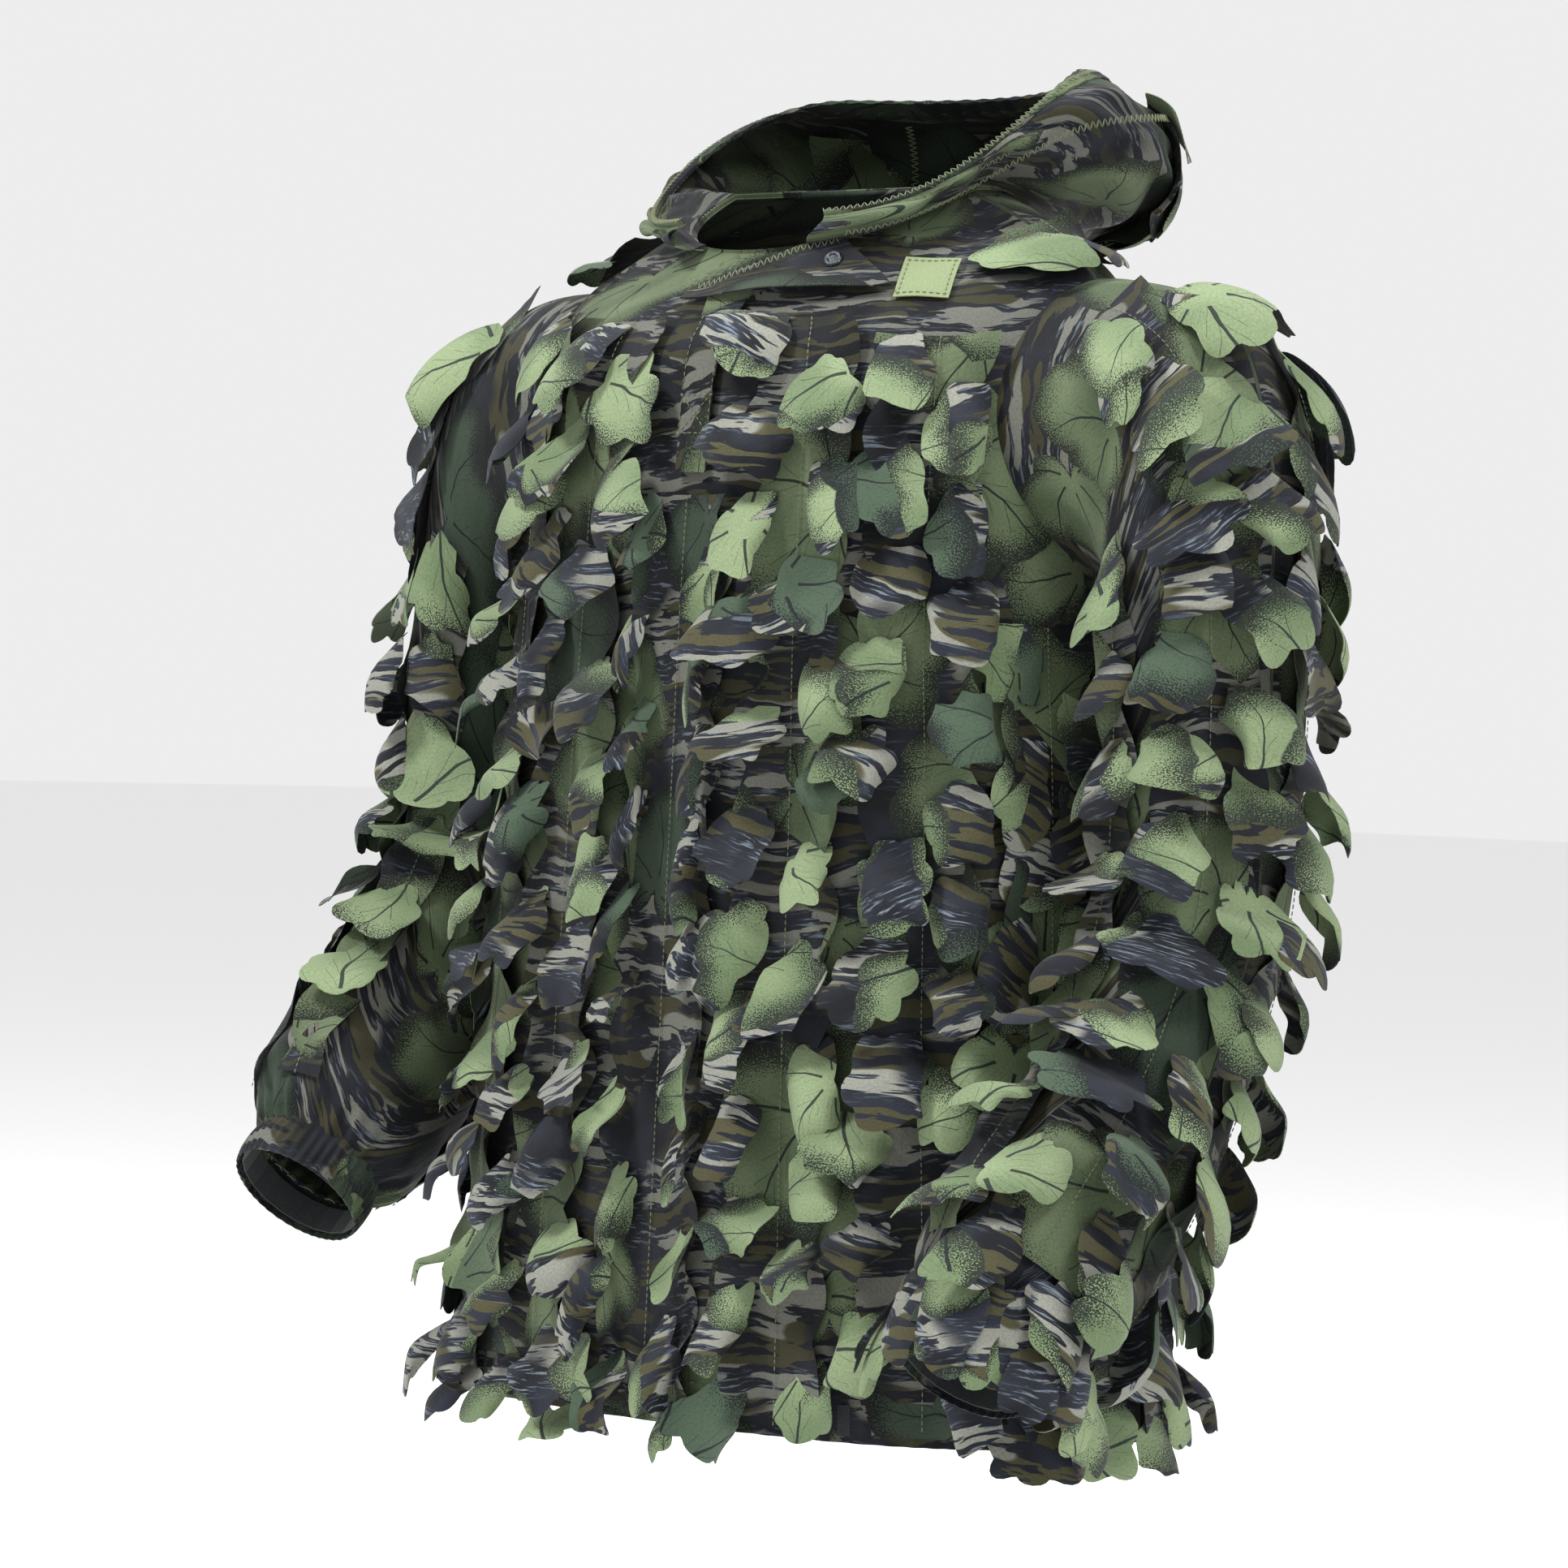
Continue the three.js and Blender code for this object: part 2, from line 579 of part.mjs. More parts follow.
function makeSleeve(word, side, forearm) {
  const f = sleeve(side, forearm);
  const last = UPPER_SLEEVE.length + forearm.length - 1;
  const axisAt = (v) => f(0, v).add(f(180, v)).multiplyScalar(0.5);
  const centred = surface(f, () => true);
  // The normal points away from the sleeve's own middle line.
  const skin = {
    frame: (u, v) => {
      const found = centred.frame(u, v);
      if (found.n.dot(found.p.clone().sub(axisAt(v))) < 0) found.n.negate();
      return found;
    },
  };
  skin.at = (u, v, offset) => {
    const { p, n } = skin.frame(u, v);
    return p.addScaledVector(n, offset);
  };
  const round = [0, 360, 16];
  add(`${word}_sleeve`, panel(skin, round, [0, last, 16], { wrap: true }), printedCloth);

  const end = axisAt(last);
  const toOuter = f(0, last).sub(end);
  const direction = toOuter.cross(f(90, last).sub(end)).normalize();
  if (direction.z > 0) direction.negate();
  const start = SEAM;
  const tube = (inner, outer, from, to) =>
    turned(
      [
        [inner, from],
        [outer, from],
        [outer, to],
        [inner, to],
        [inner, from],
      ],
      end,
      direction,
      20,
    );
  add(
    `${word}_cuff`,
    tube(CUFF_RADIUS - CLOTH, CUFF_RADIUS, start, start + CUFF_LENGTH),
    printedCloth,
  );
  const elasticOuter = CUFF_RADIUS - CLOTH - SEAM;
  add(
    `${word}_cuff_elastic`,
    tube(
      elasticOuter - ELASTIC_THICKNESS,
      elasticOuter,
      start + ELASTIC_MARGIN,
      start + CUFF_LENGTH - ELASTIC_MARGIN,
    ),
    elasticCloth,
  );
  const low = last - 0.9;
  for (const [where, from, to, top] of [
    ["back_inner", 80, 122, 3.9],
    ["back_outer", 2, 78, 1.6],
    ["front_outer", -78, -2, 1.6],
    ["front_inner", -122, -80, 3.9],
  ]) {
    const make = (gap) => leafStrip(skin, [from, to], [top, low], SLEEVE_LEAVES, 9, gap);
    const strip = seated(make, [`${word}_sleeve`], -5, SLEEVE_LEAVES.standoff);
    add(`${word}_sleeve_strip_${where}`, strip, leafCloth);
  }
}

// ---- Hood ----

const hoodBag = vec(0, 130, 40); // a point inside the hood's bowl
const hoodSkin = surface(hood, (p, n) => n.dot(p.clone().sub(hoodBag)) > 0);

function makeHood() {
  const inside = barAlongX(HOOD_HINGE_RADIUS - HOOD_GAP, 0, 0, -300, 300, 48);
  const outside = barAlongX(HOOD_HINGE_RADIUS + HOOD_GAP, 0, 0, -300, 300, 48);
  const rows = [0.03, 0.985, 9];
  const whole = toSolid(panel(hoodSkin, [HOOD_FROM, HOOD_TO, 24], rows));
  add("hood_neck_band", fromSolid(biggest(whole.intersect(inside))), printedCloth);
  const split = 0.25;
  for (const [name, from, to, columns] of [
    ["hood_left_panel", HOOD_FROM, HOOD_SEAMS[0] - split, 11],
    ["hood_middle_panel", HOOD_SEAMS[0] + split, HOOD_SEAMS[1] - split, 6],
    ["hood_right_panel", HOOD_SEAMS[1] + split, HOOD_TO, 11],
  ]) {
    const cut = toSolid(panel(hoodSkin, [from, to, columns], rows)).subtract(outside);
    add(name, fromSolid(biggest(cut)), printedCloth);
  }
  const edge = panel(hoodSkin, [HOOD_FROM, HOOD_TO, 36], [1.012, 1.045, 1], {
    cloth: BINDING,
    offset: BINDING / 2 - CLOTH / 2,
  });
  add("hood_binding", fromSolid(biggest(toSolid(edge).subtract(outside))), trimCloth);
  const fixed = toSolid(edge).intersect(inside);
  const [left, right] = fixed.decompose().sort((a, b) => middleX(b) - middleX(a));
  add("neck_binding_left", fromSolid(left), trimCloth);
  add("neck_binding_right", fromSolid(right), trimCloth);
  for (const [where, from, to, low] of [
    ["far_left", 34, 53, 0.42],
    ["left", 54, 77, 0.34],
    ["middle", 78, 102, 0.34],
    ["right", 103, 126, 0.34],
    ["far_right", 127, 146, 0.42],
  ]) {
    const make = (gap) => leafStrip(hoodSkin, [from, to], [0.96, low], HOOD_LEAVES, 9, gap);
    const names = ["hood_left_panel", "hood_middle_panel", "hood_right_panel"];
    add(`hood_strip_${where}`, seated(make, names, -5, HOOD_LEAVES.standoff), leafCloth);
  }
}

const middleX = (solid) => {
  const { min, max } = solid.boundingBox();
  return (min[0] + max[0]) / 2;
};

/** The largest separate body of a solid. */
function biggest(solid) {
  return solid.decompose().sort((a, b) => b.volume() - a.volume())[0];
}

// ---- Leaf strips on the torso ----

const TORSO_PANELS = ["torso_front", "torso_back"];

/** A strip on the torso, cut back round both armholes. */
function besideArm(strip) {
  return fromSolid(biggest(toSolid(strip).subtract(armholes[0]).subtract(armholes[1])));
}

function makeTorsoStrips() {
  const low = sectionAt(HEM_Z + 2);
  const armpit = sectionAt(-276);
  const front = equalArcs(torsoSkin, sectionAt(-450), -180, 0, 7);
  const back = equalArcs(torsoSkin, sectionAt(-450), 0, 180, 7);
  for (const [where, arcs, k, top] of [
    ["front_right_3", front, 0, armpit],
    ["front_right_2", front, 1, sectionAt(-66)],
    ["front_right_1", front, 2, sectionAt(-74)],
    ["front_middle", front, 3, sectionAt(-200)],
    ["front_left_1", front, 4, sectionAt(-74)],
    ["front_left_2", front, 5, sectionAt(-96)],
    ["front_left_3", front, 6, armpit],
    ["back_left_3", back, 0, armpit],
    ["back_left_2", back, 1, sectionAt(-72)],
    ["back_left_1", back, 2, sectionAt(-84)],
    ["back_middle", back, 3, sectionAt(-84)],
    ["back_right_1", back, 4, sectionAt(-84)],
    ["back_right_2", back, 5, sectionAt(-72)],
    ["back_right_3", back, 6, armpit],
  ]) {
    const isSide = where.endsWith("3");
    const edges = [arcs[k], arcs[k + 1]];
    const leaves = isSide ? SIDE_LEAVES : TORSO_LEAVES;
    const make = (gap) => {
      const strip = leafStrip(torsoSkin, edges, [top, low], leaves, isSide ? 0 : 1, gap);
      return where.endsWith("2") ? besideArm(strip) : strip;
    };
    add(`torso_strip_${where}`, seated(make, TORSO_PANELS, -5, leaves.standoff), leafCloth);
  }
  for (const [where, phi] of [
    ["left_shoulder", 0],
    ["right_shoulder", 180],
  ]) {
    const edges = [phi - 26, phi + 26];
    const rows = [NECK - 1.7, NECK - 3.1];
    const make = (gap) =>
      besideArm(leafStrip(torsoSkin, edges, rows, SHOULDER_LEAVES, 9, gap));
    const strip = seated(make, TORSO_PANELS, -5, SHOULDER_LEAVES.standoff);
    add(`torso_strip_${where}`, strip, leafCloth);
  }
}

makeTorso();
makePlacket();
makeTab();
makeLabel();
makeLoop();
makeSleeve("left", 1, LEFT_FOREARM);
makeSleeve("right", -1, RIGHT_FOREARM);
makeHood();
makeTorsoStrips();

export default jacket;
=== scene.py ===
"""Looks of a leafy ghillie jacket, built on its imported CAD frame.

Metres, +Z up, the wearer's left is +X and the wearer's front is -Y. The tables of sections repeat the
CAD part's own, in millimetres, so that every piece of cloth lies where its CAD solid does.
"""

import math

import bpy
import numpy as np
from mathutils import Matrix, Vector


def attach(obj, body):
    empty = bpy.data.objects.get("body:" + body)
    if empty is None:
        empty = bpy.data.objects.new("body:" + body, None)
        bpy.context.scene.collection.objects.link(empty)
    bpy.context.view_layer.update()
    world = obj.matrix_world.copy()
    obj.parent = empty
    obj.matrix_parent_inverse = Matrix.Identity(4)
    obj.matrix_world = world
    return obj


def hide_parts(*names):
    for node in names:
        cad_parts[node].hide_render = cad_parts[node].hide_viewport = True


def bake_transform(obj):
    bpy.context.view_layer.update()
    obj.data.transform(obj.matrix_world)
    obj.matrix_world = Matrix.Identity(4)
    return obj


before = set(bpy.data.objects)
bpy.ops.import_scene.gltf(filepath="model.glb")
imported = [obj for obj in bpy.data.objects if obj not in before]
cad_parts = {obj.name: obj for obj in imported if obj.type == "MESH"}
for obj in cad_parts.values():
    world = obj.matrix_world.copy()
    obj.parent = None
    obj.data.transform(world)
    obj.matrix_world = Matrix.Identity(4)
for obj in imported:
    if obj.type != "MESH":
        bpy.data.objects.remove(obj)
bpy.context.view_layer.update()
MM = 0.001
rng = np.random.default_rng(11)

# ---- Sections of the jacket, as in the CAD part ----
# Torso: height, half width, front depth, back depth, squareness, front drop, back rise.
TORSO = np.array([
    [-830, 252, 158, 144, 2.5, 0, 0],
    [-780, 252, 157, 143, 2.5, 0, 0],
    [-690, 246, 155, 142, 2.5, 0, 0],
    [-600, 238, 153, 140, 2.5, 0, 0],
    [-520, 232, 151, 138, 2.5, 0, 0],
    [-380, 225, 148, 136, 2.5, 0, 0],
    [-290, 217, 146, 136, 2.5, 0, 0],
    [-200, 214, 142, 134, 2.5, 0, 0],
    [-120, 214, 134, 128, 2.35, 0, 0],
    [-80, 212, 122, 121, 2.15, 14, 1],
    [-52, 200, 112, 110, 1.95, 27, 3],
    [-30, 166, 105, 102, 1.9, 38, 5],
    [-12, 129, 99, 96, 2.0, 45, 8],
    [0, 98, 94, 90, 2.2, 46, 10],
])
NECK = len(TORSO) - 1
HEM_Z = -780
HEM_BAND_HEIGHT = 27
ARM_Y = 18
ARM_Z = -154
MOUTH_RADIUS = 95
# Sleeves: centre, half vector to the outer side (x, z), half depth, direction.
UPPER_SLEEVE = [
    [158, ARM_Y, ARM_Z, 0, MOUTH_RADIUS, MOUTH_RADIUS, 1, 0, 0],
    [216, ARM_Y, ARM_Z, 0, MOUTH_RADIUS, MOUTH_RADIUS, 1, 0, 0],
    [250, ARM_Y, -160, 15, 93, 93, 0.98, 0, -0.18],
    [274, 17, -183, 34, 83, 88, 0.85, 0, -0.5],
    [288, 13, -226, 46, 60, 83, 0.55, -0.05, -0.8],
    [293, 8, -288, 50, 27, 77, 0.15, -0.05, -0.97],
    [295, 4, -367, 51, 7, 73, 0, -0.05, -1],
]
LEFT_FOREARM = [
    [298, -8, -450, 51, 0, 71, 0, -0.25, -0.97],
    [299, -42, -530, 52, 0, 71, -0.02, -0.55, -0.83],
    [300, -90, -595, 56, 0, 72, -0.05, -0.65, -0.76],
    [297, -140, -648, 60, 0, 72, -0.07, -0.68, -0.73],
    [292, -168, -678, 56, 0, 64, -0.07, -0.68, -0.73],
    [289, -186, -697, 45.2, 0, 45.2, -0.07, -0.68, -0.73],
]
RIGHT_FOREARM = [
    [300, 2, -438, 51, 0, 71, 0, -0.33, -0.94],
    [303, -30, -506, 52, 0, 71, -0.02, -0.6, -0.8],
    [304, -72, -556, 56, 0, 72, -0.04, -0.66, -0.75],
    [302, -115, -600, 60, 0, 72, -0.05, -0.69, -0.72],
    [299, -140, -625, 56, 0, 64, -0.05, -0.69, -0.72],
    [297, -156, -642, 45.2, 0, 45.2, -0.05, -0.69, -0.72],
]
NECK_SEAM = 0.28  # section numbers that the torso's cloth runs on past the neck, inside the hood's seam
NECK_LIP = 0.004
CUFF_START = 0.5
CUFF_LENGTH = 27
CUFF_RADIUS = 45
CUFF_TUCK = 3.5  # the cuff starts this far up inside the sleeve
HOOD_FROM, HOOD_TO = -66, 246
HOOD_SEAMS = (62, 118)
HOOD_LIFT = 1.2
RIM_HALF_WIDTH = 148
RIM_CENTRE_Y = 22
RIM_FRONT, RIM_BACK = 126, 132
RIM_LOW, RIM_RISE = -26, 96
HOOD_PEAK = 30  # how far the cloth on the wearer's left stands above the symmetrical hood
TAB_FROM, TAB_TO = -93, -57
TAB_TOP, TAB_BOTTOM = NECK - 0.5, NECK - 2.5
TAB_STANDOFF = 7
PLACKET_HALF_WIDTH = 16
PLACKET_LOW = -188
LABEL_PHI, LABEL_DOWN = -45, 2.6
LABEL_WIDTH, LABEL_HEIGHT = 0.036, 0.036


def along(table, t):
    """Rows of a table at places between them, on a smooth curve."""
    table = np.asarray(table, float)
    t = np.asarray(t, float)
    last = len(table) - 1
    i = np.clip(np.floor(t).astype(int), 0, last - 1)
    f = (t - i)[..., None]
    a, b, c, d = (table[np.clip(i + k, 0, last)] for k in (-1, 0, 1, 2))
    return b + 0.5 * f * (c - a + f * (2 * a - 5 * b + 4 * c - d + f * (3 * (b - c) + d - a)))


def rounded(t, n):
    return np.sign(t) * np.abs(t) ** (2 / n)


def smoothstep(x, low, high):
    t = np.clip((x - low) / (high - low), 0, 1)
    return t * t * (3 - 2 * t)


def lerp(a, b, t):
    return a + (b - a) * t


def unit(v):
    return v / np.maximum(np.linalg.norm(v, axis=-1, keepdims=True), 1e-12)


def torso_point(phi, section):
    """The torso's outer surface; phi in degrees, 0 at the wearer's left and 90 at the back."""
    phi, section = np.broadcast_arrays(np.radians(phi), section)
    z, width, front, back, n, drop, rise = np.moveaxis(along(TORSO, section), -1, 0)
    c, s = rounded(np.cos(phi), n), rounded(np.sin(phi), n)
    y = np.where(s < 0, front, back) * s
    return np.stack([width * c, y, z + np.where(s < 0, drop, rise) * s], -1) * MM


def sleeve_point(side, forearm):
    """A sleeve's outer surface; psi in degrees, 0 at the outer side and 90 at the back."""
    table = np.array(UPPER_SLEEVE + forearm, float)

    def point(psi, section):
        psi, section = np.broadcast_arrays(np.radians(psi), section)
        row = along(table, section)
        mouth = table[0] + (table[1] - table[0]) * np.clip(section, 0, 1)[..., None]
        row = np.where((section < 1)[..., None], mouth, row)
        outward = np.stack([row[..., 3], 0 * section, row[..., 4]], -1)
        back = unit(np.cross(outward, row[..., 6:9])) * row[..., 5:6]
        p = row[..., :3] + outward * np.cos(psi)[..., None] + back * np.sin(psi)[..., None]
        return p * np.array([side, 1, 1]) * MM

    return point


def hood_point(phi, t):
    """The hood's outer surface; t runs from 0 at the neck seam to 1 at the face edge."""
    phi, t = np.broadcast_arrays(np.asarray(phi, float), t)
    c, s = np.cos(np.radians(phi)), np.sin(np.radians(phi))
    neck = torso_point(phi, NECK) / MM + [0, 0, HOOD_LIFT]
    rim = np.stack([
        RIM_HALF_WIDTH * c,
        RIM_CENTRE_Y + np.where(s < 0, RIM_FRONT, RIM_BACK) * s,
        RIM_LOW + RIM_RISE * smoothstep(s, -0.9, 0.75),
    ], -1)
    to_back, dip = smoothstep(s, -0.4, 0.8), smoothstep(s, 0.02, 0.85)
    out = np.stack([c, s, 0 * s], -1)
    up = np.array([0, 0, 1.0])
    first = neck + out * lerp(24, 88, to_back)[..., None] - up * lerp(2, 84, dip)[..., None]
    second = rim + out * lerp(14, 118, to_back)[..., None] - up * lerp(10, 44, dip)[..., None]
    near = np.exp(-(((phi + 4) / 40) ** 2))[..., None] * up
    second, rim = second + near * HOOD_PEAK, rim + near * HOOD_PEAK
    t = t[..., None]
    u = 1 - t
    return (u**3 * neck + 3 * u * u * t * first + 3 * u * t * t * second + t**3 * rim) * MM


SIDE_STEP, DOWN_STEP = 0.4, 0.01  # how far each way a skin is sampled for its normals: degrees, sections


class Skin:
    """A surface with its outward normals."""

    def __init__(self, point, facing=1):
        self.point = point
        self.facing = facing

    def frame(self, u, v):
        u, v = np.broadcast_arrays(np.asarray(u, float), np.asarray(v, float))
        du = self.point(u + SIDE_STEP, v) - self.point(u - SIDE_STEP, v)
        dv = self.point(u, v + DOWN_STEP) - self.point(u, v - DOWN_STEP)
        per_degree = np.linalg.norm(du, axis=-1) / (2 * SIDE_STEP)
        return self.point(u, v), unit(np.cross(du, dv)) * self.facing, per_degree


torso_skin = Skin(torso_point)
hood_skin = Skin(hood_point)
left_skin = Skin(sleeve_point(1, LEFT_FOREARM), -1)
right_skin = Skin(sleeve_point(-1, RIGHT_FOREARM), 1)
SLEEVE_END = len(UPPER_SLEEVE) + len(LEFT_FOREARM) - 1


def section_at(z):
    """The torso's section number at a height in millimetres."""
    sections = np.linspace(0, NECK, 800)
    return float(np.interp(z, along(TORSO, sections)[:, 0], sections))


# ---- Camera, light and floor ----

CAMERA_AZIMUTH = math.radians(40.68)
CAMERA_ELEVATION = math.radians(0.69)
CAMERA_ROLL = math.radians(1.9)
CAMERA_DISTANCE = 3.787
CAMERA_TARGET = Vector((-0.0376, 0, -0.382))
LENS = 134.2
FLOOR_Z = -1.02


def make_camera():
    camera = bpy.data.objects.new("camera", bpy.data.cameras.new("camera"))
    bpy.context.scene.collection.objects.link(camera)
    camera.data.lens = LENS
    camera.data.clip_end = 50
    az, el = CAMERA_AZIMUTH, CAMERA_ELEVATION
    back = Vector((math.sin(az) * math.cos(el), -math.cos(az) * math.cos(el), math.sin(el)))
    right = Vector((math.cos(az), math.sin(az), 0))
    turn = Matrix((right, back.cross(right), back)).transposed().to_4x4()
    roll = Matrix.Rotation(CAMERA_ROLL, 4, "Z")
    camera.matrix_world = Matrix.Translation(CAMERA_TARGET + back * CAMERA_DISTANCE) @ turn @ roll
    bpy.context.scene.camera = camera


def make_light(name, place, size, power, aim=(0, 0, -0.4)):
    light = bpy.data.objects.new(name, bpy.data.lights.new(name, "AREA"))
    bpy.context.scene.collection.objects.link(light)
    light.data.size = size
    light.data.energy = power
    light.location = place
    light.rotation_euler = (Vector(aim) - Vector(place)).to_track_quat("-Z", "Y").to_euler()


def make_studio():
    world = bpy.data.worlds.new("studio")
    world.use_nodes = True
    world.node_tree.nodes["Background"].inputs["Color"].default_value = (1, 1, 1, 1)
    world.node_tree.nodes["Background"].inputs["Strength"].default_value = 0.85
    bpy.context.scene.world = world
    bpy.context.scene.view_settings.view_transform = "Standard"
    make_light("key_light", (-1.2, -2.4, 2.9), 0.8, 165)
    make_light("side_light", (3.0, -0.8, 2.2), 1.0, 80)
    make_light("top_light", (0.2, 0.6, 3.0), 1.2, 55)
    floor = bpy.data.objects.new("floor", bpy.data.meshes.new("floor"))
    bpy.context.scene.collection.objects.link(floor)
    reach = 30
    corners = [(x * reach, y * reach, FLOOR_Z) for x, y in ((-1, -1), (1, -1), (1, 1), (-1, 1))]
    floor.data.from_pydata(corners, [], [(0, 1, 2, 3)])
    paint = bpy.data.materials.new("pale floor")
    paint.use_nodes = True
    shader = paint.node_tree.nodes["Principled BSDF"]
    shader.inputs["Base Color"].default_value = (0.92, 0.92, 0.92, 1)
    shader.inputs["Roughness"].default_value = 0.9
    floor.data.materials.append(paint)


# ---- Materials ----


class Nodes:
    """Short calls for building one material's nodes."""

    def __init__(self, name):
        self.material = bpy.data.materials.new(name)
        self.material.use_nodes = True
        self.tree = self.material.node_tree
        self.shader = self.tree.nodes["Principled BSDF"]

    def put(self, socket, value):
        if isinstance(value, bpy.types.NodeSocket):
            self.tree.links.new(value, socket)
        elif value is not None:
            socket.default_value = value

    def add(self, kind, inputs=(), **settings):
        node = self.tree.nodes.new(kind)
        for key, value in settings.items():
            setattr(node, key, value)
        for key, value in dict(inputs).items():
            self.put(node.inputs[key], value)
        return node

    def math(self, operation, a, b=None, c=None):
        inputs = {k: v for k, v in enumerate((a, b, c)) if v is not None}
        return self.add("ShaderNodeMath", inputs, operation=operation).outputs[0]

    def vector(self, operation, a, b=None):
        inputs = {k: v for k, v in enumerate((a, b)) if v is not None}
        return self.add("ShaderNodeVectorMath", inputs, operation=operation).outputs

    def scale(self, v, factor):
        return self.add("ShaderNodeVectorMath", {"Vector": v, "Scale": factor}, operation="SCALE").outputs[0]

    def noise(self, place, scale=1.0, detail=2.0, roughness=0.5, distortion=0.0):
        inputs = {
            "Vector": place,
            "Scale": scale,
            "Detail": detail,
            "Roughness": roughness,
            "Distortion": distortion,
        }
        return self.add("ShaderNodeTexNoise", inputs).outputs

    def step(self, value, low, high):
        """0 below low, 1 above high, smooth between."""
        inputs = {"Value": value, "From Min": low, "From Max": high}
        node = self.add("ShaderNodeMapRange", inputs, interpolation_type="SMOOTHSTEP")
        return node.outputs["Result"]

    def mix(self, factor, a, b):
        node = self.add("ShaderNodeMix", data_type="RGBA")
        self.put(node.inputs["Factor"], factor)
        for socket, value in ((node.inputs[6], a), (node.inputs[7], b)):
            self.put(socket, rgb(value) if isinstance(value, str) else value)
        return node.outputs[2]

    def bump(self, height, strength, distance, below=None):
        inputs = {"Height": height, "Strength": strength, "Distance": distance}
        if below is not None:
            inputs["Normal"] = below
        return self.add("ShaderNodeBump", inputs).outputs["Normal"]


def rgb(code):
    """A linear colour from its six hexadecimal digits."""
    channels = [int(code[k : k + 2], 16) / 255 for k in (0, 2, 4)]
    return [c / 12.92 if c < 0.04045 else ((c + 0.055) / 1.055) ** 2.4 for c in channels] + [1]


SLATE_DARK = "14171d"
SLATE = "292d37"
STREAK = "8996a3"
BARK_OLIVE = "4c4a33"
BARK_PALE = "8f9086"
LEAF_GREEN = "6c7e5c"
LEAF_PALE = "8c9d77"
LEAF_TEAL = "4a5b4a"
VEIN = "171c22"
PRINTED_LEAF = 0.125  # spacing of the large printed leaves
SECOND_LEAF = 0.088


def bark_print(n, place):
    """Wavy bands of bark over slate, with hair-fine pale streaks."""
    warp = n.vector("SUBTRACT", n.noise(place, 11, 3)["Color"], (0.5, 0.5, 0.5))[0]
    bent = n.vector("ADD", place, n.vector("MULTIPLY", warp, (0.02, 0.035, 0))[0])[0]
    stretched = n.vector("MULTIPLY", bent, (21, 135, 1))[0]
    bands = n.noise(stretched, 1, 2.5, 0.5, 0.35)["Fac"]
    patch = n.noise(place, 9, 1)["Fac"]
    tone = n.noise(n.vector("MULTIPLY", bent, (9, 34, 1))[0], 1, 1)["Fac"]
    slate = n.mix(n.step(n.noise(place, 24, 2)["Fac"], 0.35, 0.65), SLATE_DARK, SLATE)
    strokes = n.noise(n.vector("MULTIPLY", bent, (55, 520, 1))[0], 1, 3, 0.6, 0.4)["Fac"]
    lit = n.math("MULTIPLY", n.step(strokes, 0.53, 0.66), n.step(tone, 0.45, 0.6))
    slate = n.mix(n.math("MULTIPLY", lit, 0.75), slate, STREAK)
    bark = n.mix(n.step(tone, 0.49, 0.51), BARK_OLIVE, BARK_PALE)
    shown = n.math("MULTIPLY", n.step(bands, 0.5, 0.512), n.step(patch, 0.4, 0.46))
    return n.mix(shown, slate, bark), bent


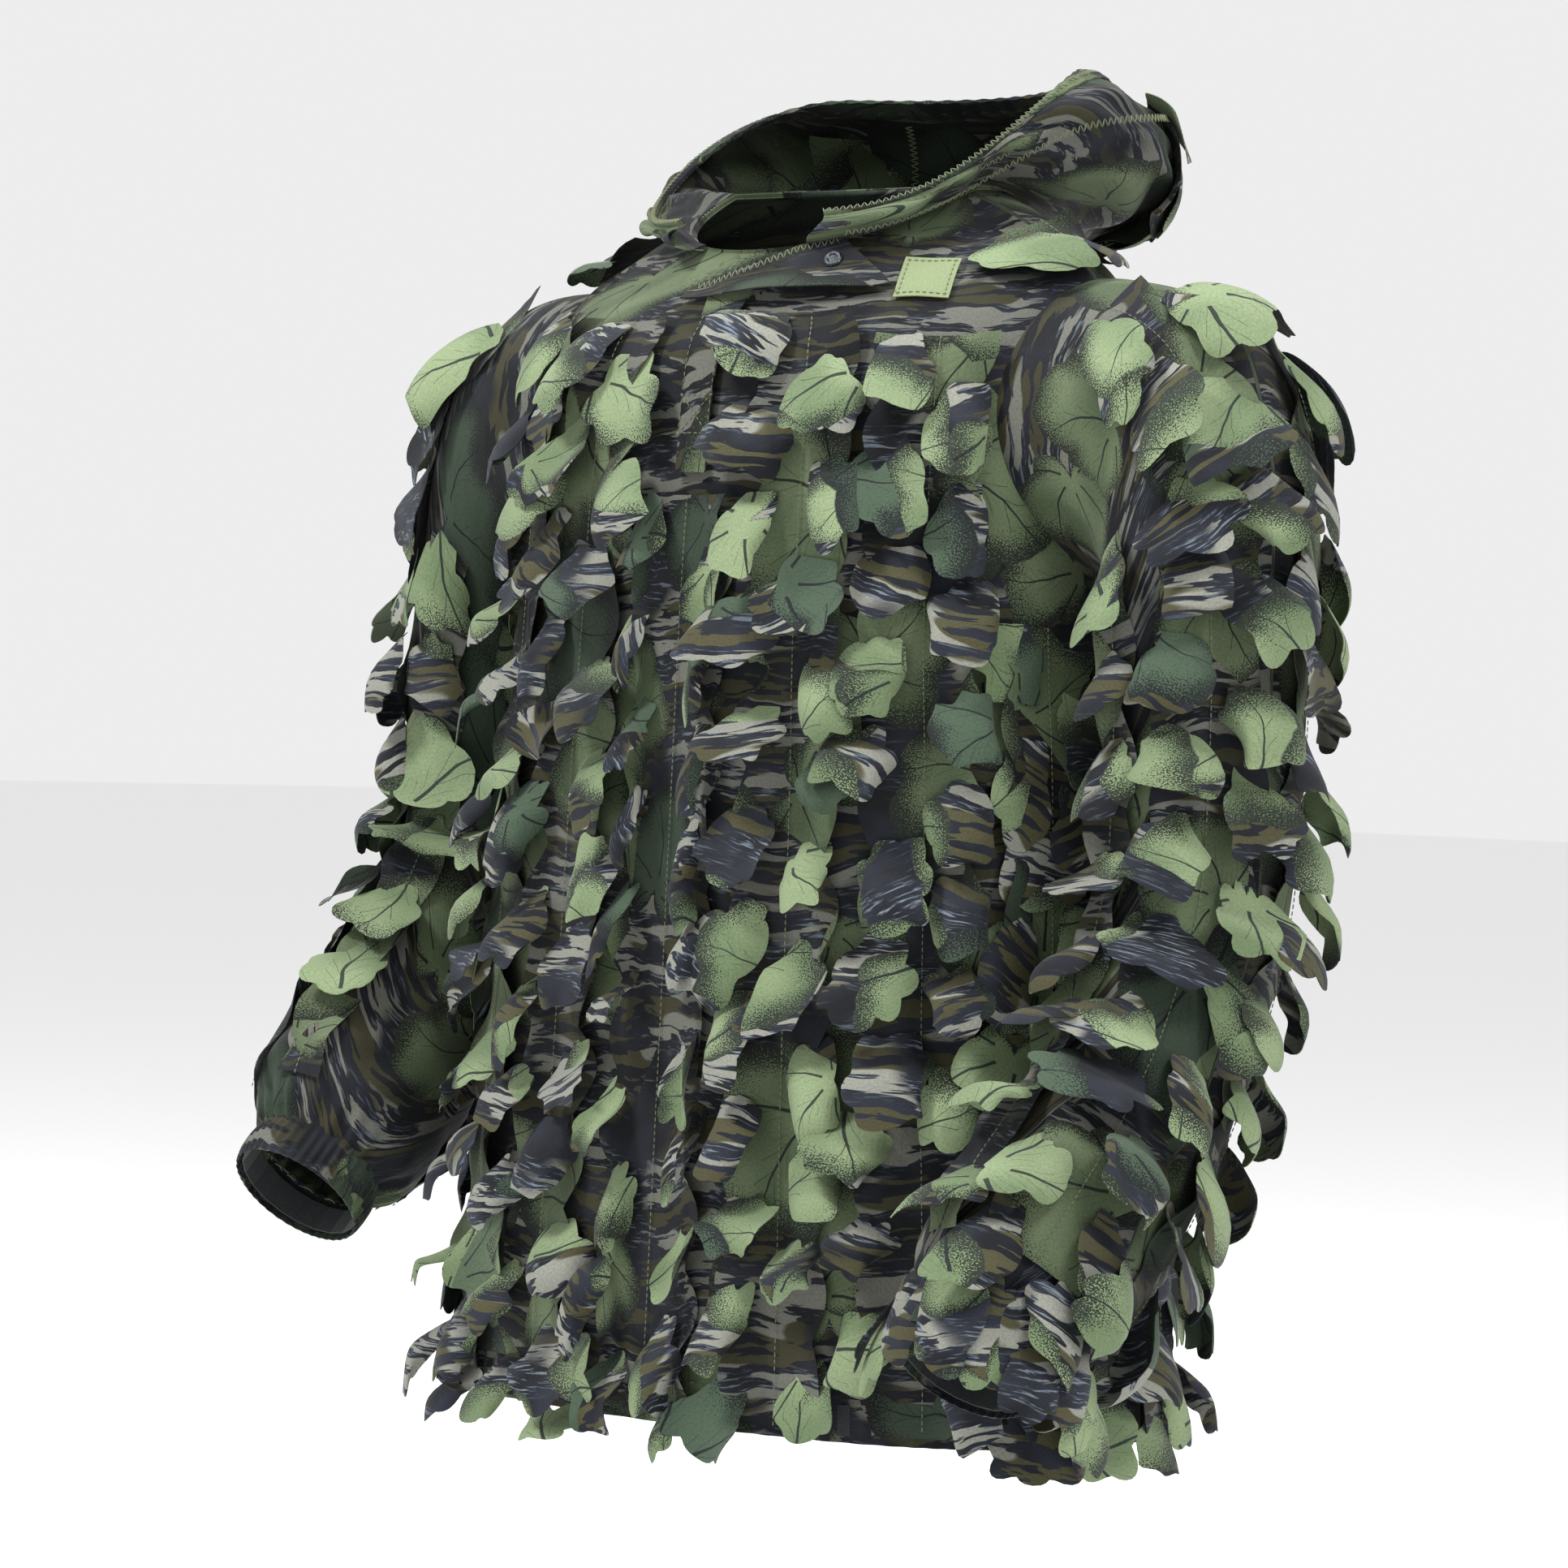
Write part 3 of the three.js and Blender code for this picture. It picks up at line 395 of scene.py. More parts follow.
def leaf_print(n, place, spacing, seed, spare, below):
    """Large printed leaves with dark veins and speckled edges, over another print."""
    moved = n.vector("ADD", place, (seed, seed * 0.7, 0))[0]
    cells = n.add(
        "ShaderNodeTexVoronoi",
        {"Vector": n.vector("MULTIPLY", moved, (1 / spacing,) * 3)[0], "Scale": 1, "Randomness": 0.75},
        voronoi_dimensions="2D",
    ).outputs
    parts = n.add("ShaderNodeSeparateColor", {"Color": cells["Color"]}).outputs
    scaled = n.vector("MULTIPLY", moved, (1 / spacing,) * 3)[0]
    local = n.vector("SUBTRACT", scaled, cells["Position"])[0]
    turned = n.add(
        "ShaderNodeVectorRotate",
        {"Vector": local, "Angle": n.math("MULTIPLY", parts[0], 6.283)},
        rotation_type="Z_AXIS",
    ).outputs[0]
    base = n.vector("ADD", turned, (0.3, 0, 0))[0]
    xyz = n.add("ShaderNodeSeparateXYZ", {"Vector": base}).outputs
    angle = n.math("ARCTAN2", xyz[1], xyz[0])
    reach = n.vector("LENGTH", base)[1]
    lobes = n.math("ABSOLUTE", n.math("COSINE", n.math("MULTIPLY", angle, 2.6)))
    width = n.math("MULTIPLY", n.math("COSINE", n.math("MULTIPLY", angle, 0.55)), 0.62)
    edge = n.math("ADD", width, n.math("MULTIPLY", lobes, 0.13))
    inside = n.math("SUBTRACT", edge, reach)
    rough = n.noise(place, 60, 2)["Fac"]
    inside = n.math("ADD", inside, n.math("MULTIPLY", n.math("SUBTRACT", rough, 0.5), 0.07))
    used = n.math("GREATER_THAN", parts[1], spare)
    mask = n.math("MULTIPLY", n.step(inside, 0.0, 0.012), used)
    curved = n.math("ADD", angle, n.math("MULTIPLY", reach, 0.45))
    spread = n.math("PINGPONG", curved, 0.5)
    main = n.math("MULTIPLY", spread, reach)
    thick = n.math("MULTIPLY", n.math("SUBTRACT", 0.9, reach), 0.011)
    veins = n.math("LESS_THAN", main, thick)
    side = n.math("PINGPONG", n.math("SUBTRACT", reach, n.math("MULTIPLY", spread, 0.9)), 0.09)
    fine = n.math("MULTIPLY", n.math("LESS_THAN", side, 0.0035), n.math("LESS_THAN", main, 0.075))
    veins = n.math("MULTIPLY", n.math("MAXIMUM", veins, fine), n.math("GREATER_THAN", reach, 0.1))
    green = n.mix(n.step(n.noise(place, 17, 1)["Fac"], 0.35, 0.65), LEAF_GREEN, LEAF_PALE)
    green = n.mix(n.step(parts[2], 0.8, 0.82), green, LEAF_TEAL)
    speckle = n.noise(place, 1100, 1)["Fac"]
    cloudy = n.math("MULTIPLY", n.math("SUBTRACT", n.noise(place, 16, 2)["Fac"], 0.5), 0.5)
    limit = n.math("ADD", n.math("MULTIPLY", inside, 1.5), n.math("SUBTRACT", 0.33, cloudy))
    dots = n.math("GREATER_THAN", speckle, limit)
    green = n.mix(n.math("MULTIPLY", dots, 0.9), green, SLATE_DARK)
    green = n.mix(n.math("MULTIPLY", veins, 0.9), green, VEIN)
    return n.mix(mask, below, green)


def printed_cloth(name, brightness):
    """Matt woven cloth with the bark and leaf print, placed by each piece's own Print map in metres."""
    n = Nodes(name)
    place = n.add("ShaderNodeUVMap", uv_map="Print").outputs[0]
    colour, bent = bark_print(n, place)
    colour = leaf_print(n, bent, SECOND_LEAF, 3.1, 0.62, colour)
    colour = leaf_print(n, bent, PRINTED_LEAF, 0.0, 0.52, colour)
    # brightness scales the whole colour along with the thread grain; the darker copies of this cloth paint
    # shade
    coarse_grain_and_shade = n.math("MULTIPLY_ADD", n.noise(place, 620, 2, 0.7)["Fac"], 0.9 * brightness, 0.15 * brightness)
    grain_and_shade = n.math("MULTIPLY_ADD", n.noise(place, 2100, 2, 0.7)["Fac"], 0.8 * brightness, coarse_grain_and_shade)
    colour = n.scale(colour, grain_and_shade)
    n.put(n.shader.inputs["Base Color"], colour)
    threads = n.vector("MULTIPLY", place, (1400, 1400, 1))[0]
    xyz = n.add("ShaderNodeSeparateXYZ", {"Vector": threads}).outputs
    weave = n.math("MULTIPLY", n.math("SINE", xyz[0]), n.math("SINE", xyz[1]))
    crease = n.bump(n.noise(place, 38, 3)["Fac"], 0.35, 0.004)
    n.put(n.shader.inputs["Normal"], n.bump(weave, 0.25, 0.0002, crease))
    n.put(n.shader.inputs["Roughness"], 0.82)
    n.put(n.shader.inputs["Sheen Weight"], 0.05)
    n.put(n.shader.inputs["Sheen Roughness"], 0.5)
    n.put(n.shader.inputs["Specular IOR Level"], 0.2)
    return n.material


def plain_cloth(name, colour, second, scale=700):
    """Woven cloth of one dye, mottled by its threads."""
    n = Nodes(name)
    place = n.add("ShaderNodeTexCoord").outputs["Object"]
    mottle = n.noise(place, scale, 2)["Fac"]
    n.put(n.shader.inputs["Base Color"], n.mix(n.step(mottle, 0.35, 0.65), colour, second))
    n.put(n.shader.inputs["Normal"], n.bump(mottle, 0.4, 0.0004))
    n.put(n.shader.inputs["Roughness"], 0.8)
    n.put(n.shader.inputs["Sheen Weight"], 0.15)
    return n.material


def dark_metal(name):
    n = Nodes(name)
    place = n.add("ShaderNodeTexCoord").outputs["Object"]
    wear = n.noise(place, 600, 3)["Fac"]
    n.put(n.shader.inputs["Base Color"], n.mix(n.step(wear, 0.4, 0.7), "2c3033", "4a4f52"))
    n.put(n.shader.inputs["Metallic"], 0.9)
    n.put(n.shader.inputs["Roughness"], 0.34)
    n.put(n.shader.inputs["Normal"], n.bump(wear, 0.1, 0.0003))
    return n.material


# ---- Meshes ----


class Cloth:
    """Collects closed sheets of cloth and makes one mesh of them, with their flat places as its Print map."""

    def __init__(self):
        self.points = []
        self.flats = []
        self.faces = []
        self.dyes = []
        self.count = 0
        self.area = 0.0

    def sheet(self, over, under, flat, wrap=False, dyes=(0, 1)):
        """A closed sheet between two grids of points; flat is the grid laid out in metres.

        dyes number the materials of the outer and the inner face.
        """
        rows, cols = over.shape[:2]
        size = rows * cols
        index = np.arange(size).reshape(rows, cols)
        if wrap:
            index = np.concatenate([index, index[:, :1]], 1)
        top = index + self.count
        low = top + size
        quads = [
            self.quads(top[:-1, :-1], top[:-1, 1:], top[1:, 1:], top[1:, :-1]),
            self.quads(low[:-1, :-1], low[1:, :-1], low[1:, 1:], low[:-1, 1:]),
            self.quads(top[0, :-1], low[0, :-1], low[0, 1:], top[0, 1:]),
            self.quads(top[-1, :-1], top[-1, 1:], low[-1, 1:], low[-1, :-1]),
        ]
        if not wrap:
            quads.append(self.quads(top[:-1, 0], top[1:, 0], low[1:, 0], low[:-1, 0]))
            quads.append(self.quads(top[:-1, -1], low[:-1, -1], low[1:, -1], top[1:, -1]))
        dye = np.full(sum(map(len, quads)), dyes[0])
        dye[len(quads[0]) : len(quads[0]) + len(quads[1])] = dyes[1]
        self.dyes.append(dye)
        quads = np.concatenate(quads)
        both = np.concatenate([over.reshape(-1, 3), under.reshape(-1, 3)])
        a, b, c, d = (both[quads[:, k] - self.count] for k in range(4))
        volume = np.einsum("ij,ij->i", a, np.cross(b, c) + np.cross(c, d)).sum()
        if volume < 0:
            quads = quads[:, ::-1]
        self.points.append(both)
        self.flats.append(np.tile(flat.reshape(-1, 2), (2, 1)))
        self.faces.append(quads)
        self.count += 2 * size
        edge_u = np.linalg.norm(np.diff(over, axis=1), axis=-1)
        edge_v = np.linalg.norm(np.diff(over, axis=0), axis=-1)
        self.area += float((edge_u[:-1] * edge_v[:, :-1]).sum())

    def disc(self, over, flat, thickness):
        """A closed sheet from rings of points round a middle, whose first ring is that one point."""
        down, round_ = np.gradient(over, axis=0), np.roll(over, -1, 1) - np.roll(over, 1, 1)
        normal = unit(np.cross(down, round_))
        normal[0] = unit(normal[1].mean(0))
        under = over - normal * thickness
        rings, count = over.shape[0] - 1, over.shape[1]
        size = 1 + rings * count
        ring = np.arange(rings * count).reshape(rings, count) + 1 + self.count
        ring = np.concatenate([ring, ring[:, :1]], 1)
        middle = np.full(count // 2, self.count)
        quads = []
        for shift, turned in ((0, False), (size, True)):
            body = self.quads(ring[:-1, :-1], ring[:-1, 1:], ring[1:, 1:], ring[1:, :-1])
            hub = np.stack([middle, ring[0, 2::2], ring[0, 1::2], ring[0, 0:-1:2]], 1)
            part = np.concatenate([body, hub]) + shift
            quads.append(part[:, ::-1] if turned else part)
        rim = ring[-1]
        quads.append(self.quads(rim[:-1], rim[1:], rim[1:] + size, rim[:-1] + size))
        self.dyes.append(np.zeros(sum(map(len, quads)), int))
        both = [points for side in (over, under) for points in (side[0, :1], side[1:].reshape(-1, 3))]
        self.points.append(np.concatenate(both))
        flats = np.concatenate([flat[0, :1], flat[1:].reshape(-1, 2)])
        self.flats.append(np.tile(flats, (2, 1)))
        self.faces.append(np.concatenate(quads))
        self.count += 2 * size
        edge = flat[-1]
        ahead = np.roll(edge, -1, 0)
        self.area += 0.5 * abs(float((edge[:, 0] * ahead[:, 1] - edge[:, 1] * ahead[:, 0]).sum()))

    @staticmethod
    def quads(a, b, c, d):
        return np.stack([a.ravel(), b.ravel(), c.ravel(), d.ravel()], 1)

    def finish(self, name, material, second=None, sharp=60):
        mesh = bpy.data.meshes.new(name)
        points, faces = np.concatenate(self.points), np.concatenate(self.faces)
        mesh.from_pydata(points.tolist(), [], faces.tolist())
        flats = np.concatenate(self.flats)[faces.ravel()]
        mesh.uv_layers.new(name="Print").data.foreach_set("uv", flats.astype(np.float32).ravel())
        mesh.shade_smooth()
        mesh.set_sharp_from_angle(angle=math.radians(sharp))
        mesh.materials.append(material)
        if second:
            mesh.materials.append(second)
            mesh.polygons.foreach_set("material_index", np.concatenate(self.dyes))
        obj = bpy.data.objects.new(name, mesh)
        bpy.context.scene.collection.objects.link(obj)
        return obj


def grid_of(skin, us, vs, offset=0.0, shape=None):
    """Points and flat places over a grid of a skin; shape(u, v) adds to the offset."""
    u, v = np.meshgrid(us, vs)
    lift = offset + (shape(u, v) if shape else 0 * u)
    p, n, _ = skin.frame(u, v)
    arc = np.linalg.norm(np.diff(p, axis=1), axis=-1)
    across = np.concatenate([0 * arc[:, :1], np.cumsum(arc, 1)], 1)
    across = across - across[:, len(us) // 2, None]
    run = np.linalg.norm(np.diff(p, axis=0), axis=-1)
    down = np.concatenate([0 * run[:1], np.cumsum(run, 0)])
    return p, n, lift, np.stack([across, down], -1)


def shell(cloth, skin, us, vs, thickness, offset=0.0, shape=None, wrap=False, shift=(0, 0)):
    """A sheet of cloth over a skin. Its outer face stands offset off the skin."""
    p, n, lift, flat = grid_of(skin, us, vs, offset, shape)
    over = p + n * lift[..., None]
    cloth.sheet(over, over - n * thickness, flat + np.array(shift), wrap)


def ripples(places, scale, amount):
    """Smooth uneven folds: a sum of a few waves in fixed directions."""
    total = np.zeros(places.shape[:-1])
    for k in range(7):
        a = 2.4 * k + 0.7
        direction = np.array([math.cos(a), math.sin(a), math.cos(1.7 * a)])
        total += np.sin(places @ direction * scale * (0.7 + 0.13 * k) + 1.9 * k)
    return amount * total / 3


# ---- Leaves ----

CLOTH_THICKNESS = 0.0005
NARROW_STRIP = 0.062  # a strip under this width takes one column of leaves
OUTLINE = 48  # points round a leaf
RINGS = np.array([0.3, 0.58, 0.8, 0.93, 1.0])
LEAF_REACH = 0.034  # no leaf stands further off its strip than this
HELD_CLOSE = 0.018  # up to here a leaf stands off freely


def leaf_outline(width, length):
    """The edge of one die-cut leaf, lying flat: x across, y down from where it hangs."""
    around = np.linspace(0, 2 * np.pi, OUTLINE, endpoint=False)
    count = rng.choice([5, 6, 7])
    wave = np.abs(np.cos(count / 2 * (around + rng.uniform(0, 2))))
    if rng.random() < 0.2:
        wave = 1 - wave
    reach = 1 + rng.uniform(0.14, 0.3) * (wave - 0.64)
    reach = reach + 0.09 * np.sin(2 * around + rng.uniform(0, 6))
    reach = reach + 0.07 * np.sin(3 * around + rng.uniform(0, 6))
    y = length * (0.5 + 0.5 * reach * rounded(np.cos(around), 2.5))
    neck = rng.uniform(0.5, 0.85)
    x = width / 2 * reach * rounded(np.sin(around), 2.5) * lerp(neck, 1, smoothstep(y / length, 0, 0.55))
    return np.stack([x, np.clip(y, 0, None)], -1)


def curl(flat, width, length, lively):
    """Bends flat places into a curled leaf: x across, y down, height off the cloth."""
    t = np.linspace(0, 1.3, 60)
    bow = math.radians(rng.uniform(20, 58)) * lively
    flare = math.radians(rng.uniform(-38, 52)) * lively
    slope = bow * np.sin(np.pi * np.clip(t / 0.9, 0, 1)) + flare * t**1.8
    run = np.concatenate([[0], np.cumsum(np.cos(slope[1:]))]) * t[1] * length
    rise = np.concatenate([[0], np.cumsum(np.sin(slope[1:]))]) * t[1] * length
    down = flat[..., 1] / length
    y, height = np.interp(down, t, run), np.interp(down, t, rise)
    half = width / 2
    if rng.random() < 0.72:
        roll = math.radians(rng.uniform(75, 160)) * lively
    else:
        roll = -math.radians(rng.uniform(40, 105)) * lively
    bend = roll * np.clip(down, 0.02, 1) ** 0.7 * (1 - 0.35 * np.clip(down, 0, 1) ** 3)
    lean = rng.uniform(-0.35, 0.35)
    s = flat[..., 0] / half - lean
    x = half / bend * (np.sin(bend * s) + np.sin(bend * lean))
    height = height - half / bend * (1 - np.cos(bend * s))
    lowest = half / np.abs(bend) * (1 - np.cos(np.abs(bend) * (1 + abs(lean)))) * (roll > 0)
    return np.stack([x, y, height + lowest * 0.85], -1)


def cut_leaf(width, length, lively):
    """One leaf's rings of points from its middle to its edge, lying flat and curled."""
    outline = leaf_outline(width, length)
    middle = np.array([0, 0.5 * length])
    rings = middle + RINGS[:, None, None] * (outline - middle)
    flat = np.concatenate([np.broadcast_to(middle, (1, OUTLINE, 2)), rings])
    return flat, curl(flat, width, length, lively)


class Strip:
    """A strip of leaves sewn down a skin, with places across and down it in metres."""

    def __init__(self, skin, u_range, v_range):
        self.skin = skin
        self.middle = sum(u_range) / 2
        self.v = np.linspace(*v_range, 160)
        p, _, per_degree = skin.frame(self.middle, self.v)
        self.down = np.concatenate([[0], np.cumsum(np.linalg.norm(np.diff(p, axis=0), axis=-1))])
        self.length = float(self.down[-1])
        self.half = (u_range[1] - u_range[0]) / 2
        self.width = float(np.median(per_degree)) * 2 * self.half
        self.shift = rng.uniform(0, 5, 2)

    def place(self, x, y, height):
        v = np.interp(y, self.down, self.v)
        per_degree = self.skin.frame(self.middle, v)[2]
        beyond = np.clip(y - self.length, 0, None)
        p, n, _ = self.skin.frame(self.middle + x / per_degree, v)
        p = p + n * height[..., None]
        run = unit(self.skin.point(self.middle, self.v[-1]) - self.skin.point(self.middle, self.v[-2]))
        return p + beyond[..., None] * run

    def leaf(self, cloth, x, y, width, length, turn, lively, base):
        """One leaf hung from a place on the strip, turned outward a little."""
        flat, bent = cut_leaf(width, length, lively)
        c, s = math.cos(turn), math.sin(turn)
        across = bent[..., 0] * c + bent[..., 1] * s + x
        down = np.clip(-bent[..., 0] * s + bent[..., 1] * c + y, 0.001, None)
        height = np.maximum(bent[..., 2], 0)
        spare = LEAF_REACH - HELD_CLOSE
        past = height - HELD_CLOSE
        height = np.where(past < 0, height, HELD_CLOSE + spare * np.tanh(past / spare))
        over = self.place(across, down, height + base)
        spin = rng.uniform(-0.5, 0.5)
        c, s = math.cos(spin), math.sin(spin)
        cloth.disc(over, flat @ np.array([[c, s], [-s, c]]) + rng.uniform(0, 5, 2), CLOTH_THICKNESS)


def band(strip, cloth):
    """The strip's own cloth, cut in waves down both edges."""
    rows = max(8, int(strip.length / 0.006))
    y = np.linspace(0.002, strip.length - 0.004, rows)[:, None]
    s = np.linspace(-1, 1, 9)[None, :]
    wave = np.abs(np.sin(np.pi * (y / 0.058 + rng.random())))
    edge = strip.width / 2 * (0.62 + 0.24 * wave)
    flutter = np.sin(y * 95 + rng.uniform(0, 6)) + np.sin(y * 57 + 2 * s)
    height = 0.0012 + 0.0035 * np.abs(s) ** 2 * (1.4 + flutter)
    x, y, height = np.broadcast_arrays(s * edge, y, height)
    over = strip.place(x, y, height + CLOTH_THICKNESS)
    # The band takes the second, darker material: painted shade under the leaves.
    cloth.sheet(over, strip.place(x, y, height), np.stack([x, y], -1) + strip.shift, dyes=(1, 1))


def leaves_over_cuff(skin, cloth):
    """Leaves from the sleeve's last row that hang down over the cuff and its mouth."""
    for psi in np.arange(-150, 70, 19.0):
        p, n, _ = skin.frame(psi + rng.uniform(-5, 5), SLEEVE_END - rng.uniform(0.35, 0.7))
        axis = unit(skin.point(psi, float(SLEEVE_END)) - skin.point(psi, SLEEVE_END - 0.6))
        down = unit(0.35 * axis + [0, 0, -1.0])
        out = unit(n - down * (n @ down))
        across = np.cross(down, out)
        width, length = rng.uniform(0.04, 0.052), rng.uniform(0.056, 0.074)
        flat, bent = cut_leaf(width, length, 0.6)
        over = p + bent[..., :1] * across + bent[..., 1:2] * down + (bent[..., 2:] + 0.004) * out
        cloth.disc(over, flat + rng.uniform(0, 5, 2), CLOTH_THICKNESS)


def leaves_on(strip, cloth, pitch, size, lively, tail=0.0, until=1.0, calm=1.0):
    """Two staggered columns of leaves down a strip, each a little turned outward, calmer near the top."""
    first = 0.004
    count = max(1, round((strip.length - first + tail - 0.3 * size) / pitch))
    sides = (-1, 1) if strip.width > NARROW_STRIP else (0,)
    for side in sides:
        start = first + (0.5 * pitch if side > 0 else 0) * rng.uniform(0.8, 1.2)
        for k in range(count):
            width, length = size * rng.uniform(0.85, 1.3), size * rng.uniform(1.05, 1.5)
            top = start + k * pitch + rng.uniform(-0.14, 0.14) * pitch
            length = min(length, (strip.length + tail - top) / 1.06)
            if length < 0.5 * size or top > until * strip.length:
                continue
            offset = side * strip.width * rng.uniform(0.17, 0.3) + rng.uniform(-0.004, 0.004)
            turn = side * math.radians(rng.uniform(-8, 28))
            base = 0.0022 + 0.0016 * rng.random()
            loose = lively * rng.uniform(0.75, 1.2) * lerp(calm, 1, smoothstep(top, 0.02, 0.26))
            strip.leaf(cloth, offset, top, width, length, turn, loose, base)


def equal_arcs(skin, section, start, end, count):
    """Angles that split an arc of a skin into equal lengths."""
    u = np.linspace(start, end, 241)
    steps = np.linalg.norm(np.diff(skin.point(u, section), axis=0), axis=-1)
    lengths = np.concatenate([[0], np.cumsum(steps)])
    return [float(np.interp(lengths[-1] * k / count, lengths, u)) for k in range(count + 1)]


def make_strip(
    name, skin, u_range, v_range, body, pitch=0.06, size=0.048, lively=1.0, tail=0.0, until=1.0, calm=1.0
):
    strip = Strip(skin, u_range, v_range)
    cloth = Cloth()
    band(strip, cloth)
    leaves_on(strip, cloth, pitch, size, lively, tail, until, calm)
    if name == "left_sleeve_strip_front_outer":
        leaves_over_cuff(skin, cloth)
    y = np.arange(0.004, strip.length - 0.004, 0.006)
    ridge = strip.place(0 * y, y, 0 * y + STITCH_LIFT)
    strip_seams[body].append((ridge, unit(ridge - strip.place(0 * y, y, 0 * y))))
    # Leaves take the full-tone cloth; the band takes the darkened copy, painted shade.
    obj = cloth.finish(name + "_leaves", leaf_cloth, painted_shade_cloth)
    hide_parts(name)
    if body == "hood":
        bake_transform(obj)
    else:
        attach(obj, body)


# ---- Stitches ----

ZIGZAG = {"Spacing": 0.0023, "Length": 0.0062, "Thickness": 0.0008, "Lean": 1.22}
STITCH_LIFT = 0.0034  # how far a row on a strip or the placket lies above the skin
PLAIN = {"Spacing": 0.0042, "Length": 0.0034, "Thickness": 0.0008, "Lean": 0.0}


def stitch_tree():
    """A row of thread stitches along lines of edges, leaning left and right in turn."""
    tree = bpy.data.node_groups.new("stitch row", "GeometryNodeTree")
    for name, kind in (
        ("Line", "NodeSocketGeometry"),
        ("Spacing", "NodeSocketFloat"),
        ("Length", "NodeSocketFloat"),
        ("Thickness", "NodeSocketFloat"),
        ("Lean", "NodeSocketFloat"),
        ("Thread", "NodeSocketMaterial"),
    ):
        tree.interface.new_socket(name, in_out="INPUT", socket_type=kind)
    tree.interface.new_socket("Stitches", in_out="OUTPUT", socket_type="NodeSocketGeometry")

    def add(kind, inputs=(), **settings):
        node = tree.nodes.new(kind)
        for key, value in settings.items():
            setattr(node, key, value)
        for key, value in dict(inputs).items():
            if isinstance(value, bpy.types.NodeSocket):
                tree.links.new(value, node.inputs[key])
            else:
                node.inputs[key].default_value = value
        return node

    given = add("NodeGroupInput").outputs
    line = add("GeometryNodeMeshToCurve", {"Mesh": given["Line"]}).outputs["Curve"]
    spaced = add("GeometryNodeResampleCurve", {"Curve": line, "Length": given["Spacing"]}, mode="LENGTH")
    outward = add("GeometryNodeInputNamedAttribute", {"Name": "outward"}, data_type="FLOAT_VECTOR")
    tangent = add("GeometryNodeInputTangent").outputs[0]
    facing = add(
        "FunctionNodeAxesToRotation",
        {0: outward.outputs["Attribute"], 1: tangent},
        primary_axis="Z",
        secondary_axis="X",
    ).outputs[0]
    index = add("GeometryNodeInputIndex").outputs[0]
    parity = add("ShaderNodeMath", {0: index, 1: 2.0}, operation="MODULO").outputs[0]
    sign = add("ShaderNodeMath", {0: parity, 1: 2.0, 2: -1.0}, operation="MULTIPLY_ADD").outputs[0]
    angle = add("ShaderNodeMath", {0: sign, 1: given["Lean"]}, operation="MULTIPLY").outputs[0]
    lean = add("FunctionNodeAxisAngleToRotation", {"Axis": (0, 0, 1), "Angle": angle}).outputs[0]
    turned = add("FunctionNodeRotateRotation", {0: facing, 1: lean}, rotation_space="LOCAL").outputs[0]
    bead = add("GeometryNodeMeshUVSphere", {"Segments": 6, "Rings": 4, "Radius": 0.5}).outputs["Mesh"]
    size = add(
        "ShaderNodeCombineXYZ",
        {0: given["Length"], 1: given["Thickness"], 2: given["Thickness"]},
    ).outputs[0]
    stitch = add("GeometryNodeTransform", {"Geometry": bead, "Scale": size}).outputs[0]
    rows = add(
        "GeometryNodeInstanceOnPoints",
        {"Points": spaced.outputs[0], "Instance": stitch, "Rotation": turned},
    ).outputs[0]
    real = add("GeometryNodeRealizeInstances", {"Geometry": rows}).outputs[0]
    dyed = add("GeometryNodeSetMaterial", {"Geometry": real, "Material": given["Thread"]}).outputs[0]
    add("NodeGroupOutput", {0: dyed})
    return tree


def stitches(name, lines, kind, body, material):
    """Rows of stitches, each along a (points, outward directions) line."""
    points = np.concatenate([line for line, _ in lines])
    starts = np.cumsum([0] + [len(line) for line, _ in lines])
    edges = [(k, k + 1) for a, b in zip(starts, starts[1:]) for k in range(a, b - 1)]
    mesh = bpy.data.meshes.new(name)
    mesh.from_pydata(points.tolist(), edges, [])
    outward = mesh.attributes.new("outward", "FLOAT_VECTOR", "POINT")
    directions = np.concatenate([facing for _, facing in lines])
    outward.data.foreach_set("vector", directions.astype(np.float32).ravel())
    obj = bpy.data.objects.new(name, mesh)
    bpy.context.scene.collection.objects.link(obj)
    rows = obj.modifiers.new("rows", "NODES")
    rows.node_group = stitch_rows
    for item in stitch_rows.interface.items_tree:
        if item.name in kind:
            rows[item.identifier] = kind[item.name]
        elif item.name == "Thread":
            rows[item.identifier] = material
    evaluated = obj.evaluated_get(bpy.context.evaluated_depsgraph_get())
    sewn = bpy.data.meshes.new_from_object(evaluated)
    obj.modifiers.clear()
    obj.data = sewn
    if body == "hood":
        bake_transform(obj)
    else:
        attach(obj, body)


def line_on(skin, us, vs, lift):
    """A line over a skin, on its outer side, or on its inner side when lift is negative."""
    p, n, _ = skin.frame(us, vs)
    return p + n * lift, n * math.copysign(1, lift)


def patch_on(skin, u, v, across, down):
    """Points and normals of a flat patch laid on a skin; across and down are metres from its middle."""
    p, n, _ = skin.frame(u, v)
    fall = unit(np.array([0, 0, -1.0]) + n * n[2])
    side = np.cross(fall, n)
    target = p + across[..., None] * side + down[..., None] * fall
    u, v = np.full(across.shape, float(u)), np.full(across.shape, float(v))
    for _ in range(6):
        here = skin.point(u, v)
        du = (skin.point(u + 0.2, v) - here) / 0.2
        dv = (skin.point(u, v + 0.01) - here) / 0.01
        gap = target - here
        uu, vv, uv = (du * du).sum(-1), (dv * dv).sum(-1), (du * dv).sum(-1)
        gu, gv = (gap * du).sum(-1), (gap * dv).sum(-1)
        det = uu * vv - uv * uv
        u = u + (gu * vv - gv * uv) / det
        v = v + (gv * uu - gu * uv) / det
    points, normals, _ = skin.frame(u, v)
    return points, normals


# ---- The jacket ----

